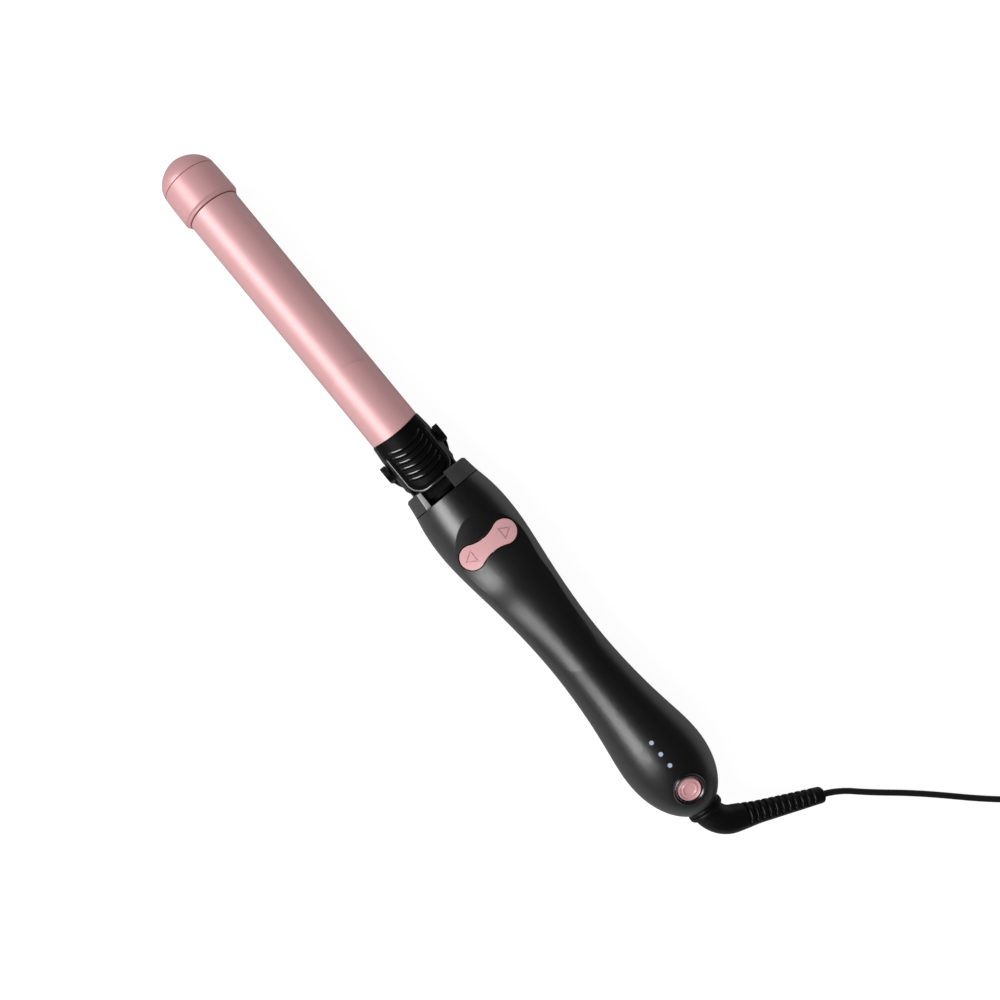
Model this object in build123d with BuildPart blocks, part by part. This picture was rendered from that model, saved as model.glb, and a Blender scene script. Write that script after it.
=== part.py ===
from build123d import *
from math import acos, cos, pi, radians, sin, sqrt, tan
import os

# Rotating curling iron, in millimetres. +X runs from the barrel's tip to the cord, +Z is up and the
# iron lies on the plane z = 0. The long axis is at y = 0, centred on the length of the iron itself.

# Fits and walls
slip_fit = 0.02            # a fixed piece in its seat
running_fit = 0.05         # a turning or sliding piece on its pin or in its bore
loose_gap = 0.3            # moving pieces that pass each other
wall = 2.0                 # handle shells

# Handle outline: places along the iron and radii
handle_front_x, handle_front_r = 7.25, 18.0
bulge_x, bulge_r = 29.9, 20.4
shoulder_x, shoulder_r = 57.6, 17.72
waist_x, waist_r = 97.0, 14.6
hip_x, hip_r = 145.3, 18.07
rear_bulge_x, rear_bulge_r = 164.5, 20.2
tail_x, tail_r = 182.3, 16.39
handle_end_x, handle_end_r = 192.0, 8.8

# Sunk panel on the top of the handle, as round sections flatter than the handle: place along the
# iron, depth below the round outline, and how far the section's centre lies below the long axis
panel_sections = [(12.0, -2.4, 16.0), (21.0, 0.0, 16.0), (28.0, 1.9, 16.0), (36.3, 3.8, 16.0),
                  (49.0, 3.6, 14.0), (62.0, 3.0, 11.0), (77.0, 2.0, 7.0), (88.0, 1.1, 3.5),
                  (97.0, 0.5, 1.6), (105.0, 0.08, 0.9), (114.0, -0.5, 0.6)]

# Front collar
collar_front_x = -1.5
collar_front_r = 16.95
collar_mouth_r = 15.0      # clears the lever's tail as the barrel turns
collar_corner = 0.46 * (collar_front_r - collar_mouth_r)
collar_mouth_depth = 3.5
collar_bore_r = 13.6
collar_spigot_length = 2.2
notch_y = (-8.9, 4.9)
notch_floor = 8.0          # above the long axis
notch_slope = 2.3          # width of the slanted side of the notch
notch_slope_z = 11.0

# Barrel
barrel_r = 12.7
barrel_wall = 1.0
tip_x = -192.0
dome_length = 11.2
dome_r = 14.0
dome_mid = (4.8, 10.4)     # a point of the dome, from its tip
tip_collar_r = 14.37
tip_collar_rear_x = -162.7
tip_collar_edge = 0.45
tip_collar_lip = 4.3
tip_spigot_r = 9.0
tip_spigot_length = 3.0
barrel_rear_x = -27.5

# Heater inside the barrel
heater_plate_x = (-150.0, -61.0)
heater_plate_size = (12.0, 1.5)
shoe_x = (-158.0, -45.0)
shoe_gap = 1.6
fuse_r, fuse_length = 1.8, 11.0
thermistor_r, thermistor_length = 1.2, 5.5
sensor_offset = 6.0        # fuse and thermistor from the long axis
sensor_inset = 0.5
insulator_x = (-42.5, -39.5)
lead_r, lead_offset = 0.6, 1.0
lead_end_x = 24.0
lead_bore_r = 2.0

# Rotating base
base_front_x, base_front_r = -30.4, 13.1
base_r, base_full_x = 13.8, -23.0
base_taper_x = (-5.5, -3.5)
neck_r = 12.9
neck_end_x = 4.6
neck_top_z = 8.0           # clears the lever's tail when the clamp is open
deck_z = 3.4               # flat floor under the lever, above the long axis
deck_end_x = 0.9
deck_half_width = 11.9     # the base's sides stand up beside the lever
base_spigot_x = -38.0

# Lever and clamp plate, on a cross pin
clamp_pin_x, clamp_pin_z = -15.0, 7.0
clamp_pin_r = 1.25
clamp_pin_half = 8.2
base_lug_y = (3.4, 5.4)
lever_lug_y = (5.7, 7.7)
lug_r = 3.1
lever_front_x, lever_tail_x = -30.4, 0.3
lever_front_bow = 1.8      # its front edge is hollow
lever_half_width = 11.6
lever_corner = 7.5
lever_r, lever_inner_r = 14.6, 13.4
plate_tip_x, plate_shoulder_x, plate_rear_x = -66.3, -58.8, -22.0
plate_gap, plate_thickness = 0.1, 0.5
plate_edge_z = 6.6
groove_x = (-20.5, -17.6, -14.6, -11.5, -8.2, -5.4)
groove_width, groove_depth = 0.9, 0.6
groove_half_width = 9.4
groove_bow = 3.0
rivet_x, rivet_y = -24.7, 5.0
rivet_r, rivet_head_r, rivet_head = 1.1, 2.0, 0.9
rivet_cover = 1.7          # lever left over the end of a rivet
clamp_spring_x = -6.0
clamp_spring_r, clamp_spring_wire, clamp_spring_turns = 2.6, 0.7, 5
spring_peg_r = 1.8
spring_peg = 1.5

# Stand
stand_pivot_x = -17.25
stand_width = 8.3
stand_gap, stand_thickness = 0.4, 2.6
stand_foot = 3.0
stand_pin_r, stand_head_r, stand_head = 1.6, 2.6, 0.7
stand_pin_inner_y = 8.0

# Spindle, bearings and gear train
spindle_r, spindle_bore_r = 5.0, 3.0
spindle_flange_r, spindle_flange = 9.0, 1.6
spindle_end_x = 29.9
spindle_screw_circle, spindle_screw_angles = 7.1, (210, 270, 330)
spindle_screw_r, spindle_screw_head, spindle_screw_depth = 0.9, 1.0, 4.5
front_plate_x = (9.9, 13.1)
rear_plate_x = (28.0, 30.0)
rear_plate_drop = 2.6      # smaller than the handle's hollow, to clear the sunk panel
bearing_r = 8.0
bush_r = 7.0
bush_front_x = 27.6
clip_x = (13.3, 14.0)
clip_r = 6.4
gear_x = (14.6, 18.8)
gear_module = 0.5
drive_teeth, pinion_teeth = 28, 12
tooth_backlash = 0.12
pinion_margin = 0.2
motor_shaft_r = 1.5
motor_shaft_x = (11.6, 33.0)
slip_hub_x = (19.6, 27.4)
slip_hub_r, slip_ring_r = 6.6, 7.3
slip_rings_x = (20.4, 24.2)
slip_ring_width = 2.4
brush_width, brush_depth, brush_height = 2.0, 3.0, 3.2
holder_x = (19.8, 27.2)
holder_half_y = 4.0
holder_z = (8.3, 13.0)
frame_bar_y, frame_bar_size = 12.0, (3.0, 6.0)
frame_top_bar = (10.0, 1.9)

# Gear motor
motor_size = (12.0, 10.0)
motor_corner = 3.0
gearbox_length, motor_length = 9.0, 15.0

# Rocker
rocker_x = 36.3
rocker_end_y, rocker_end_r, rocker_waist = 9.4, 5.7, 7.4
rocker_gap = 0.5
rocker_proud = 0.8
rocker_bottom_z = 10.8
rocker_pin_z, rocker_pin_r, rocker_pin_half = 13.0, 1.0, 6.3
ear_gap, ear_half_width, ear_bottom_z = 0.6, 2.2, 11.3
arrow_base, arrow_height, arrow_line, arrow_relief = 5.4, 4.4, 0.55, 0.35

# Boards and switches
board_thickness = 1.6
switch_board_x, switch_board_half_y, switch_board_top = (32.0, 52.0), 12.0, 6.0
rocker_switch_y = 9.0
switch_side, rocker_switch_height = 6.0, 3.4
plunger_r, plunger_height = 1.5, 0.6
main_board_x, main_board_half_y, main_board_top = (112.0, 179.0), 8.5, 9.2
board_posts = [(48.0, 8.5, "switch"), (48.0, -8.5, "switch"), (118.0, 0.0, "main"), (142.0, 0.0, "main")]
post_r = 2.2
board_screw_r, board_screw_head_r, board_screw_head, board_screw_length = 1.0, 1.9, 1.1, 4.2
relay_x, relay_half_y, relay_height = (122.0, 136.0), 5.0, 8.6
capacitor_x, capacitor_r = (147.5, 159.5), 4.0
chip_x, chip_half_y, chip_height = (161.5, 169.5), 4.0, 1.2
harness_y = (5.0, 6.4)

# Indicator lights
led_x = (149.9, 156.1, 162.3)
led_r, led_height = 1.5, 3.3
pipe_r, pipe_flange_r, pipe_flange = 1.0, 1.6, 0.8
pipe_gap = 0.3

# Power button
power_x = 177.0
power_tilt_deg = 17.0
bezel_r, bezel_skirt_r, bezel_bore_r = 7.7, 6.9, 6.3
bezel_proud, bezel_seat, bezel_skirt_end, bezel_web = 0.5, 2.2, 5.5, 0.8
power_button_r, power_button_top, power_button_bottom = 5.55, 0.3, 2.5
power_dish = 0.35
power_stem_r, power_stem_hole_r, power_stem_end = 2.0, 2.3, 6.2
power_snap_r, power_snap = 2.6, (5.6, 6.0)
power_spring_r, power_spring_wire, power_spring_turns = 3.8, 0.5, 2
power_switch_x, power_switch_height, power_plunger = 175.0, 1.5, 0.3

# Shell screws
centre_screws_x = (64.0, 104.0)
side_screw_x, side_screw_y = 150.0, 12.0
screw_boss_r = 2.8
shell_screw_r, shell_screw_head_r, shell_screw_head = 1.1, 2.1, 1.6
shell_screw_seat, shell_screw_top = 6.0, 7.0
counterbore_r = 2.4

# Cord swivel
swivel_stem_r = 5.0
swivel_bush_r, bush_flange_r, bush_flange = 6.9, 8.6, 2.0
retainer_r, retainer = 6.8, 2.0
contact_pin_r, contact_pin = 1.3, 2.4
contact_block, contact_block_half_y, contact_block_drop = 4.5, 4.0, 4.0
swivel_bead_r = (8.3, 8.7)
swivel_bead = (2.0, 2.8)   # two rounded rings, side by side
swivel_gap = 0.3
elbow_r, elbow_end_r = 7.0, 5.9
elbow_straight, elbow_bend_r, elbow_bend_deg, elbow_tilt_deg = 0.6, 10.0, 61.0, 16.5
sleeve_length = 50.5
rib_start, rib_pitch, sleeve_tip = 9.3, 3.6, 2.5
sleeve_front_r, sleeve_end_r = 5.3, 3.8
rib_web, rib_notch = 1.9, 0.9

# Cord
cord_d = 3.0
cord_rest_z = 1.6
cord_lead = 9.0            # straight run out of the sleeve
cord_points = [(246.5, 65.5, 1.9), (262.5, 84.5, cord_rest_z)]
coil_entry_x, coil_entry_y = 309.0, 135.5
coil_lead = 32.6           # straight run into the coil
coil_heading_deg = 50.6
coil_outer_r = 24.0
coil_pitch, layer_pitch = 3.45, 3.45
half_turns = (7, 7, 7, 6)  # in, out, in, out, one layer above the other
tail_points_along = [(12.0, 0.0), (28.0, -1.6), (44.0, -4.4)]  # ahead and to the side

# Plug
plug_z = 6.6
plug_relief = 14.0
plug_relief_r = (2.3, 3.6)
plug_length, plug_width, plug_height, plug_corner = 28.0, 22.0, 13.0, 4.0
blade_length, blade_width, blade_thickness, blade_spacing = 17.0, 6.35, 1.5, 12.7
blade_root = 4.0

# Values that follow from the ones above
axis_z = bulge_r
main_axis = Axis((0, 0, axis_z), (1, 0, 0))
side_plane = Plane(origin=(0, 0, axis_z), x_dir=(1, 0, 0), z_dir=(0, -1, 0))
plan_plane = Plane.XY.offset(axis_z)
tip_seam_x = tip_x + dome_length
plate_inner_r = barrel_r + plate_gap
plate_outer_r = plate_inner_r + plate_thickness
gear_centres = gear_module * (drive_teeth + pinion_teeth) / 2
gearbox_x = rear_plate_x[1]
motor_x = gearbox_x + gearbox_length
cavity_end_x = tail_x
bush_inner_x = cavity_end_x - bush_flange
retainer_x = bush_inner_x - swivel_gap - retainer
swivel_ring_x = handle_end_x + swivel_gap
elbow_x = swivel_ring_x + sum(swivel_bead)
rib_count = int((sleeve_length - rib_start - sleeve_tip) / rib_pitch) + 1
stand_inner_r = base_r + stand_gap
stand_outer_r = stand_inner_r + stand_thickness
front_plate_r = handle_front_r - wall
rear_plate_r = bulge_r - wall - rear_plate_drop
spindle_screw_places = [(spindle_screw_circle * cos(radians(a)), spindle_screw_circle * sin(radians(a)))
                        for a in spindle_screw_angles]
board_top = {"switch": switch_board_top, "main": main_board_top}


def across(x):
    """The plane square to the long axis at x, with its own x along Y and its own y up."""
    return Plane(origin=(x, 0, axis_z), x_dir=(0, 1, 0), z_dir=(1, 0, 0))


def ring(x, outer, inner=0.0, y=0.0, z=0.0):
    """A disc or ring square to the long axis."""
    with BuildSketch(across(x)) as sketch:
        with Locations((y, z)):
            Circle(outer)
            if inner:
                Circle(inner, mode=Mode.SUBTRACT)
    return sketch.sketch


def half_section(*points):
    """A closed outline of straight lines beside the long axis, as (x, radius)."""
    with BuildSketch(side_plane) as sketch:
        with BuildLine():
            Polyline(*points, close=True)
        make_face()
    return sketch.sketch


def block(x, y, z):
    """A box between two places along each of X, Y and Z, with Z from the long axis."""
    with BuildPart() as made:
        with BuildSketch(Plane.XY.offset(axis_z + z[0])):
            with Locations(((x[0] + x[1]) / 2, (y[0] + y[1]) / 2)):
                Rectangle(x[1] - x[0], y[1] - y[0])
        extrude(amount=z[1] - z[0])
    return made.part


def post(x, y, z, radius):
    """An upright round post between two heights from the long axis."""
    with BuildPart() as made:
        with BuildSketch(Plane.XY.offset(axis_z + z[0])):
            with Locations((x, y)):
                Circle(radius)
        extrude(amount=z[1] - z[0])
    return made.part


def cross_pin(x, z, y, radius):
    """A round pin along Y between two places, at x and at a height from the long axis."""
    with BuildPart() as made:
        with BuildSketch(Plane(origin=(x, y[0], axis_z + z), x_dir=(1, 0, 0), z_dir=(0, 1, 0))):
            Circle(radius)
        extrude(amount=y[1] - y[0])
    return made.part


def coil_spring(plane, radius, wire, turns, length):
    """A wound wire that stands on the plane."""
    rise = length - 2 * wire
    with BuildPart() as made:
        with BuildLine(plane.offset(wire)):
            path = Helix(pitch=rise / turns, height=rise, radius=radius, direction=plane.z_dir)
        with BuildSketch(Plane(origin=path @ 0, z_dir=path % 0)):
            Circle(wire / 2)
        sweep(is_frenet=True)
    return made.part


def finish(piece, name):
    """Labels a piece and writes it."""
    piece.part.label = name
    export_step(piece.part, f"parts/{name}.step")


# Handle outline as a curve, and its radius at a place along the iron
outline_points = [(handle_front_x, handle_front_r), (bulge_x, bulge_r), (shoulder_x, shoulder_r),
                  (waist_x, waist_r), (hip_x, hip_r), (rear_bulge_x, rear_bulge_r), (tail_x, tail_r),
                  (handle_end_x, handle_end_r)]
with BuildLine() as outline:
    Spline(*outline_points)
outline_edge = outline.edges()[0]


def radius_at(x):
    """The handle's outer radius at x, found by halving along its outline."""
    low, high = 0.0, 1.0
    for _ in range(40):
        middle = (low + high) / 2
        if outline_edge.position_at(middle).X < x:
            low = middle
        else:
            high = middle
    return outline_edge.position_at(low).Y


def handle_section(inset, end_x):
    """The handle's half section, with its outline moved in by inset, up to end_x."""
    points = [(x, r - inset) for x, r in outline_points if x <= end_x]
    with BuildSketch(side_plane) as sketch:
        with BuildLine():
            Spline(*points)
            Polyline(points[-1], (points[-1][0], 0), (points[0][0], 0), points[0])
        make_face()
    return sketch.sketch


def above_panel(lift):
    """All that lies above the sunk panel raised by lift, as a part to cut with."""
    top = bulge_r + 5
    with BuildPart() as made:
        for x, depth, drop in panel_sections:
            reach = radius_at(x) - depth + drop + lift
            side = min(radius_at(x) + 1, 0.97 * reach)
            low = sqrt(reach ** 2 - side ** 2) - drop
            with BuildSketch(across(x)):
                with BuildLine():
                    ThreePointArc((-side, low), (0, reach - drop), (side, low))
                    Polyline((side, low), (side, top), (-side, top), (-side, low))
                make_face()
        loft()
    return made.part


def bone(grow):
    """The rocker's dumbbell outline on the plan plane, grown by a gap."""
    end_r = rocker_end_r + grow
    waist = rocker_waist / 2 + grow
    centre = (rocker_end_y ** 2 + waist ** 2 - end_r ** 2) / (2 * (end_r - waist))
    side_r = centre - waist
    reach = side_r + end_r
    tangent = (centre - side_r * centre / reach, rocker_end_y * side_r / reach)
    with BuildSketch(plan_plane) as sketch:
        with BuildLine():
            for side in (1, -1):
                ThreePointArc((rocker_x + tangent[0], side * tangent[1]),
                              (rocker_x, side * (rocker_end_y + end_r)),
                              (rocker_x - tangent[0], side * tangent[1]))
                ThreePointArc((rocker_x + side * tangent[0], tangent[1]),
                              (rocker_x + side * waist, 0),
                              (rocker_x + side * tangent[0], -tangent[1]))
        make_face()
    return sketch.sketch


def gear_face(x, teeth, z, phase_deg):
    """A spur gear's outline with involute flanks, square to the long axis.

    Half of a tooth's angle at a radius is its half angle on the pitch circle, plus the involute of
    the pressure angle, less the involute of the angle whose cosine is base radius over radius.
    """
    pitch_r = gear_module * teeth / 2
    pressure = radians(20)
    base_r = pitch_r * cos(pressure)
    tip_r = pitch_r + 0.8 * gear_module
    root_r = pitch_r - 1.15 * gear_module
    half_pitch = pi / (2 * teeth) - tooth_backlash / (2 * pitch_r)

    def half_angle(radius):
        flank = acos(min(1.0, base_r / radius))
        return half_pitch + (tan(pressure) - pressure) - (tan(flank) - flank)

    start = max(base_r, root_r)
    flank_radii = [start + (tip_r - start) * step / 4 for step in range(5)]
    points = []
    for tooth in range(teeth):
        middle = radians(phase_deg) + 2 * pi * tooth / teeth
        polar = [(root_r, -half_angle(start))] + [(r, -half_angle(r)) for r in flank_radii]
        polar += [(r, -angle) for r, angle in reversed(polar)]
        points += [(r * cos(middle + a), z + r * sin(middle + a)) for r, a in polar]
    with BuildSketch(across(x)) as sketch:
        with BuildLine():
            Polyline(*points, close=True)
        make_face()
    return sketch.sketch


# Barrel

with BuildPart() as tip_cap:
    with BuildSketch(side_plane):
        with BuildLine():
            ThreePointArc((tip_x, 0), (tip_x + dome_mid[0], dome_mid[1]), (tip_seam_x, dome_r))
            Polyline((tip_seam_x, dome_r), (tip_seam_x, tip_spigot_r - slip_fit),
                     (tip_seam_x + tip_spigot_length, tip_spigot_r - slip_fit),
                     (tip_seam_x + tip_spigot_length, 0), (tip_x, 0))
        make_face()
    revolve(axis=main_axis)
finish(tip_cap, "tip_cap")

with BuildPart() as tip_collar:
    extrude(ring(tip_seam_x, tip_collar_r, tip_spigot_r), amount=tip_collar_rear_x - tip_seam_x)
    outer_edges = tip_collar.edges().filter_by(GeomType.CIRCLE).group_by(
        lambda e: round(e.radius, 3))[-1]
    fillet(outer_edges, radius=tip_collar_edge)
    extrude(ring(tip_seam_x + tip_collar_lip, barrel_r + slip_fit),
            amount=tip_collar_rear_x - tip_seam_x, mode=Mode.SUBTRACT)
finish(tip_collar, "tip_collar")

with BuildPart() as barrel_tube:
    tube_front_x = tip_seam_x + tip_collar_lip + slip_fit
    extrude(ring(tube_front_x, barrel_r, barrel_r - barrel_wall), amount=barrel_rear_x - tube_front_x)
finish(barrel_tube, "barrel_tube")

shoe_r = barrel_r - barrel_wall - 0.1
with BuildPart() as heater_shoes:
    extrude(ring(shoe_x[0], shoe_r), amount=shoe_x[1] - shoe_x[0])
    add(block(shoe_x, (-barrel_r, barrel_r), (-shoe_gap / 2, shoe_gap / 2)), mode=Mode.SUBTRACT)
    for radius, length, z in ((fuse_r, fuse_length, -sensor_offset),
                              (thermistor_r, thermistor_length, sensor_offset)):
        depth = length + 2 * sensor_inset
        extrude(ring(shoe_x[1] - depth, radius + running_fit, z=z), amount=depth, mode=Mode.SUBTRACT)
finish(heater_shoes, "heater_shoes")

plate_half = (heater_plate_size[0] / 2, heater_plate_size[1] / 2)
with BuildPart() as heater_plate:
    add(block(heater_plate_x, (-plate_half[0], plate_half[0]), (-plate_half[1], plate_half[1])))
finish(heater_plate, "heater_plate")

with BuildPart() as thermal_fuse:
    extrude(ring(shoe_x[1] - sensor_inset - fuse_length, fuse_r, z=-sensor_offset), amount=fuse_length)
finish(thermal_fuse, "thermal_fuse")

with BuildPart() as thermistor:
    extrude(ring(shoe_x[1] - sensor_inset - thermistor_length, thermistor_r, z=sensor_offset),
            amount=thermistor_length)
finish(thermistor, "thermistor")

with BuildPart() as barrel_insulator:
    extrude(ring(insulator_x[0], shoe_r, lead_bore_r), amount=insulator_x[1] - insulator_x[0])
finish(barrel_insulator, "barrel_insulator")

with BuildPart() as heater_leads:
    lead_start_x = heater_plate_x[1] + slip_fit
    for y in (-lead_offset, lead_offset):
        extrude(ring(lead_start_x, lead_r, y=y), amount=lead_end_x - lead_start_x)
finish(heater_leads, "heater_leads")

# Rotating base, lever, clamp plate and stand

with BuildPart() as base_housing:
    revolve(half_section((base_front_x, 0), (base_front_x, base_front_r), (base_full_x, base_r),
                         (base_taper_x[0], base_r), (base_taper_x[1], neck_r),
                         (neck_end_x, neck_r), (neck_end_x, 0)), axis=main_axis)
    add(block((base_front_x - 1, deck_end_x), (-deck_half_width, deck_half_width),
              (deck_z, base_r + 1)), mode=Mode.SUBTRACT)
    add(block((deck_end_x - 1, neck_end_x + 1), (-neck_r, neck_r), (neck_top_z, base_r + 1)),
        mode=Mode.SUBTRACT)
    extrude(ring(base_front_x, barrel_r + slip_fit), amount=barrel_rear_x - base_front_x,
            mode=Mode.SUBTRACT)
    extrude(ring(base_spigot_x, shoe_r), amount=barrel_rear_x - base_spigot_x)
    for y in (base_lug_y, (-base_lug_y[1], -base_lug_y[0])):
        add(cross_pin(clamp_pin_x, clamp_pin_z, y, lug_r))
        add(block((clamp_pin_x - lug_r, clamp_pin_x + lug_r), y, (deck_z - 1, clamp_pin_z)))
    add(cross_pin(clamp_pin_x, clamp_pin_z, (-base_r, base_r), clamp_pin_r + slip_fit),
        mode=Mode.SUBTRACT)
    add(post(clamp_spring_x, 0, (deck_z - 1, deck_z + spring_peg), spring_peg_r))
    extrude(ring(base_spigot_x, lead_bore_r), amount=neck_end_x - base_spigot_x, mode=Mode.SUBTRACT)
    for y in ((stand_pin_inner_y, base_r + 1), (-base_r - 1, -stand_pin_inner_y)):
        add(cross_pin(stand_pivot_x, 0, y, stand_pin_r + slip_fit), mode=Mode.SUBTRACT)
    for y, z in spindle_screw_places:
        extrude(ring(neck_end_x - spindle_screw_depth - loose_gap, spindle_screw_r + slip_fit, y=y, z=z),
                amount=spindle_screw_depth + 1, mode=Mode.SUBTRACT)
finish(base_housing, "base_housing")

with BuildPart() as clamp_plate:
    extrude(ring(plate_tip_x - 1, plate_outer_r, plate_inner_r), amount=plate_rear_x - plate_tip_x + 1)
    with BuildSketch(Plane.XY.offset(axis_z + plate_edge_z)):
        with BuildLine():
            ThreePointArc((plate_shoulder_x, -base_r), (plate_tip_x, 0), (plate_shoulder_x, base_r))
            Polyline((plate_shoulder_x, base_r), (plate_rear_x, base_r), (plate_rear_x, -base_r),
                     (plate_shoulder_x, -base_r))
        make_face()
    extrude(amount=base_r, mode=Mode.INTERSECT)
    for side in (1, -1):
        add(block((base_front_x - loose_gap, plate_rear_x + 1),
                  sorted((side * (lever_half_width - slip_fit), side * base_r)), (0, base_r)),
            mode=Mode.SUBTRACT)
    for y in (-rivet_y, rivet_y):
        add(post(rivet_x, y, (0, base_r + 1), rivet_r + slip_fit), mode=Mode.SUBTRACT)
finish(clamp_plate, "clamp_plate")

with BuildPart() as lever_grooves:
    for x in groove_x:
        with BuildSketch(plan_plane):
            with BuildLine():
                ThreePointArc((x - groove_bow, groove_half_width), (x, 0),
                              (x - groove_bow, -groove_half_width))
            trace(line_width=groove_width)
        extrude(amount=lever_r + 1)
    extrude(ring(lever_front_x, lever_r - groove_depth), amount=lever_tail_x - lever_front_x,
            mode=Mode.SUBTRACT)

lever_length = lever_tail_x - lever_front_x
with BuildPart() as clamp_lever:
    extrude(ring(lever_front_x, lever_r, lever_inner_r), amount=lever_tail_x - lever_front_x)
    for y in (lever_lug_y, (-lever_lug_y[1], -lever_lug_y[0])):
        add(cross_pin(clamp_pin_x, clamp_pin_z, y, lug_r))
        add(block((clamp_pin_x - lug_r, clamp_pin_x + lug_r), y, (clamp_pin_z, lever_inner_r - 1.2)))
    add(post(clamp_spring_x, 0, (lever_inner_r - spring_peg, lever_inner_r + 0.5), spring_peg_r))
    with BuildSketch(plan_plane):
        with Locations((lever_tail_x - lever_length, 0)):
            RectangleRounded(2 * lever_length, 2 * lever_half_width, lever_corner)
        with BuildLine():
            ThreePointArc((lever_front_x, lever_half_width + 1), (lever_front_x + lever_front_bow, 0),
                          (lever_front_x, -lever_half_width - 1))
            Polyline((lever_front_x, -lever_half_width - 1),
                     (lever_front_x - 2 * lever_length, -lever_half_width - 1),
                     (lever_front_x - 2 * lever_length, lever_half_width + 1),
                     (lever_front_x, lever_half_width + 1))
        make_face(mode=Mode.SUBTRACT)
    extrude(amount=lever_r + 1, mode=Mode.INTERSECT)
    add(cross_pin(clamp_pin_x, clamp_pin_z, (-clamp_pin_half - slip_fit, clamp_pin_half + slip_fit),
                  clamp_pin_r + running_fit), mode=Mode.SUBTRACT)
    for y in (-rivet_y, rivet_y):
        add(post(rivet_x, y, (0, lever_r - rivet_cover), rivet_r + slip_fit), mode=Mode.SUBTRACT)
    add(lever_grooves.part, mode=Mode.SUBTRACT)
finish(clamp_lever, "clamp_lever")

with BuildPart() as clamp_rivets:
    for y in (-rivet_y, rivet_y):
        under = sqrt(plate_inner_r ** 2 - (rivet_y + rivet_head_r) ** 2) - rivet_head - slip_fit
        add(post(rivet_x, y, (under, under + rivet_head), rivet_head_r))
        add(post(rivet_x, y, (under, lever_r - rivet_cover - slip_fit), rivet_r))
finish(clamp_rivets, "clamp_rivets")

with BuildPart() as clamp_pin:
    add(cross_pin(clamp_pin_x, clamp_pin_z, (-clamp_pin_half, clamp_pin_half), clamp_pin_r))
finish(clamp_pin, "clamp_pin")

clamp_spring = coil_spring(Plane(origin=(clamp_spring_x, 0, axis_z + deck_z)), clamp_spring_r,
                           clamp_spring_wire, clamp_spring_turns, lever_inner_r - deck_z - 0.4)
clamp_spring.label = "clamp_spring"
export_step(clamp_spring, "parts/clamp_spring.step")

with BuildPart() as stand:
    for y in (stand_inner_r, -stand_outer_r):
        with BuildSketch(Plane(origin=(0, y, axis_z), x_dir=(1, 0, 0), z_dir=(0, 1, 0))):
            with Locations((stand_pivot_x, 0)):
                Circle(stand_width / 2)
            with Locations((stand_pivot_x, axis_z / 2)):
                Rectangle(stand_width, axis_z)
        extrude(amount=stand_outer_r - stand_inner_r)
    with BuildSketch(Plane.XY):
        with Locations((stand_pivot_x, 0)):
            Circle(stand_outer_r)
            Circle(stand_inner_r, mode=Mode.SUBTRACT)
        with Locations((stand_pivot_x - stand_outer_r / 2, 0)):
            Rectangle(stand_outer_r, 2 * stand_outer_r, mode=Mode.SUBTRACT)
    extrude(amount=stand_foot)
    for y in ((stand_inner_r - 1, stand_outer_r + 1), (-stand_outer_r - 1, 1 - stand_inner_r)):
        add(cross_pin(stand_pivot_x, 0, y, stand_pin_r + running_fit), mode=Mode.SUBTRACT)
    head_y = stand_outer_r - stand_head - 2 * running_fit
    for y in ((head_y, stand_outer_r + 1), (-stand_outer_r - 1, -head_y)):
        add(cross_pin(stand_pivot_x, 0, y, stand_head_r + 2 * running_fit), mode=Mode.SUBTRACT)
finish(stand, "stand")

with BuildPart() as stand_pins:
    for side in (1, -1):
        for near, far, radius in ((stand_pin_inner_y, stand_outer_r - stand_head, stand_pin_r),
                                  (stand_outer_r - stand_head, stand_outer_r - running_fit,
                                   stand_head_r)):
            add(cross_pin(stand_pivot_x, 0, sorted((side * near, side * far)), radius))
finish(stand_pins, "stand_pins")

# Spindle, bearings, gears and slip rings

flange_x = (neck_end_x, neck_end_x + spindle_flange)
with BuildPart() as spindle:
    extrude(ring(flange_x[0], spindle_flange_r, spindle_bore_r), amount=spindle_flange)
    extrude(ring(flange_x[0], spindle_r, spindle_bore_r), amount=spindle_end_x - flange_x[0])
    for y, z in spindle_screw_places:
        extrude(ring(flange_x[0], spindle_screw_r + slip_fit, y=y, z=z), amount=spindle_flange,
                mode=Mode.SUBTRACT)
finish(spindle, "spindle")

with BuildPart() as spindle_screws:
    for y, z in spindle_screw_places:
        extrude(ring(neck_end_x - spindle_screw_depth, spindle_screw_r, y=y, z=z),
                amount=spindle_screw_depth + spindle_flange)
        extrude(ring(flange_x[1], spindle_screw_r * 1.9, y=y, z=z), amount=spindle_screw_head)
finish(spindle_screws, "spindle_screws")

with BuildPart() as front_bearing:
    extrude(ring(front_plate_x[0], bearing_r, spindle_r + slip_fit),
            amount=front_plate_x[1] - front_plate_x[0])
finish(front_bearing, "front_bearing")

with BuildPart() as rear_bush:
    extrude(ring(bush_front_x, bush_r, spindle_r + running_fit), amount=gearbox_x - bush_front_x)
finish(rear_bush, "rear_bush")

with BuildPart() as spindle_clip:
    extrude(ring(clip_x[0], clip_r, spindle_r + slip_fit), amount=clip_x[1] - clip_x[0])
    with BuildSketch(across(clip_x[0])):
        with Locations((0, clip_r)):
            Rectangle(spindle_r, 2 * clip_r)
    extrude(amount=clip_x[1] - clip_x[0], mode=Mode.SUBTRACT)
finish(spindle_clip, "spindle_clip")

gear_width = gear_x[1] - gear_x[0]
with BuildPart() as drive_gear:
    extrude(gear_face(gear_x[0], drive_teeth, 0, -90), amount=gear_width)
    extrude(ring(gear_x[0], spindle_r + slip_fit), amount=gear_width, mode=Mode.SUBTRACT)
finish(drive_gear, "drive_gear")

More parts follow.
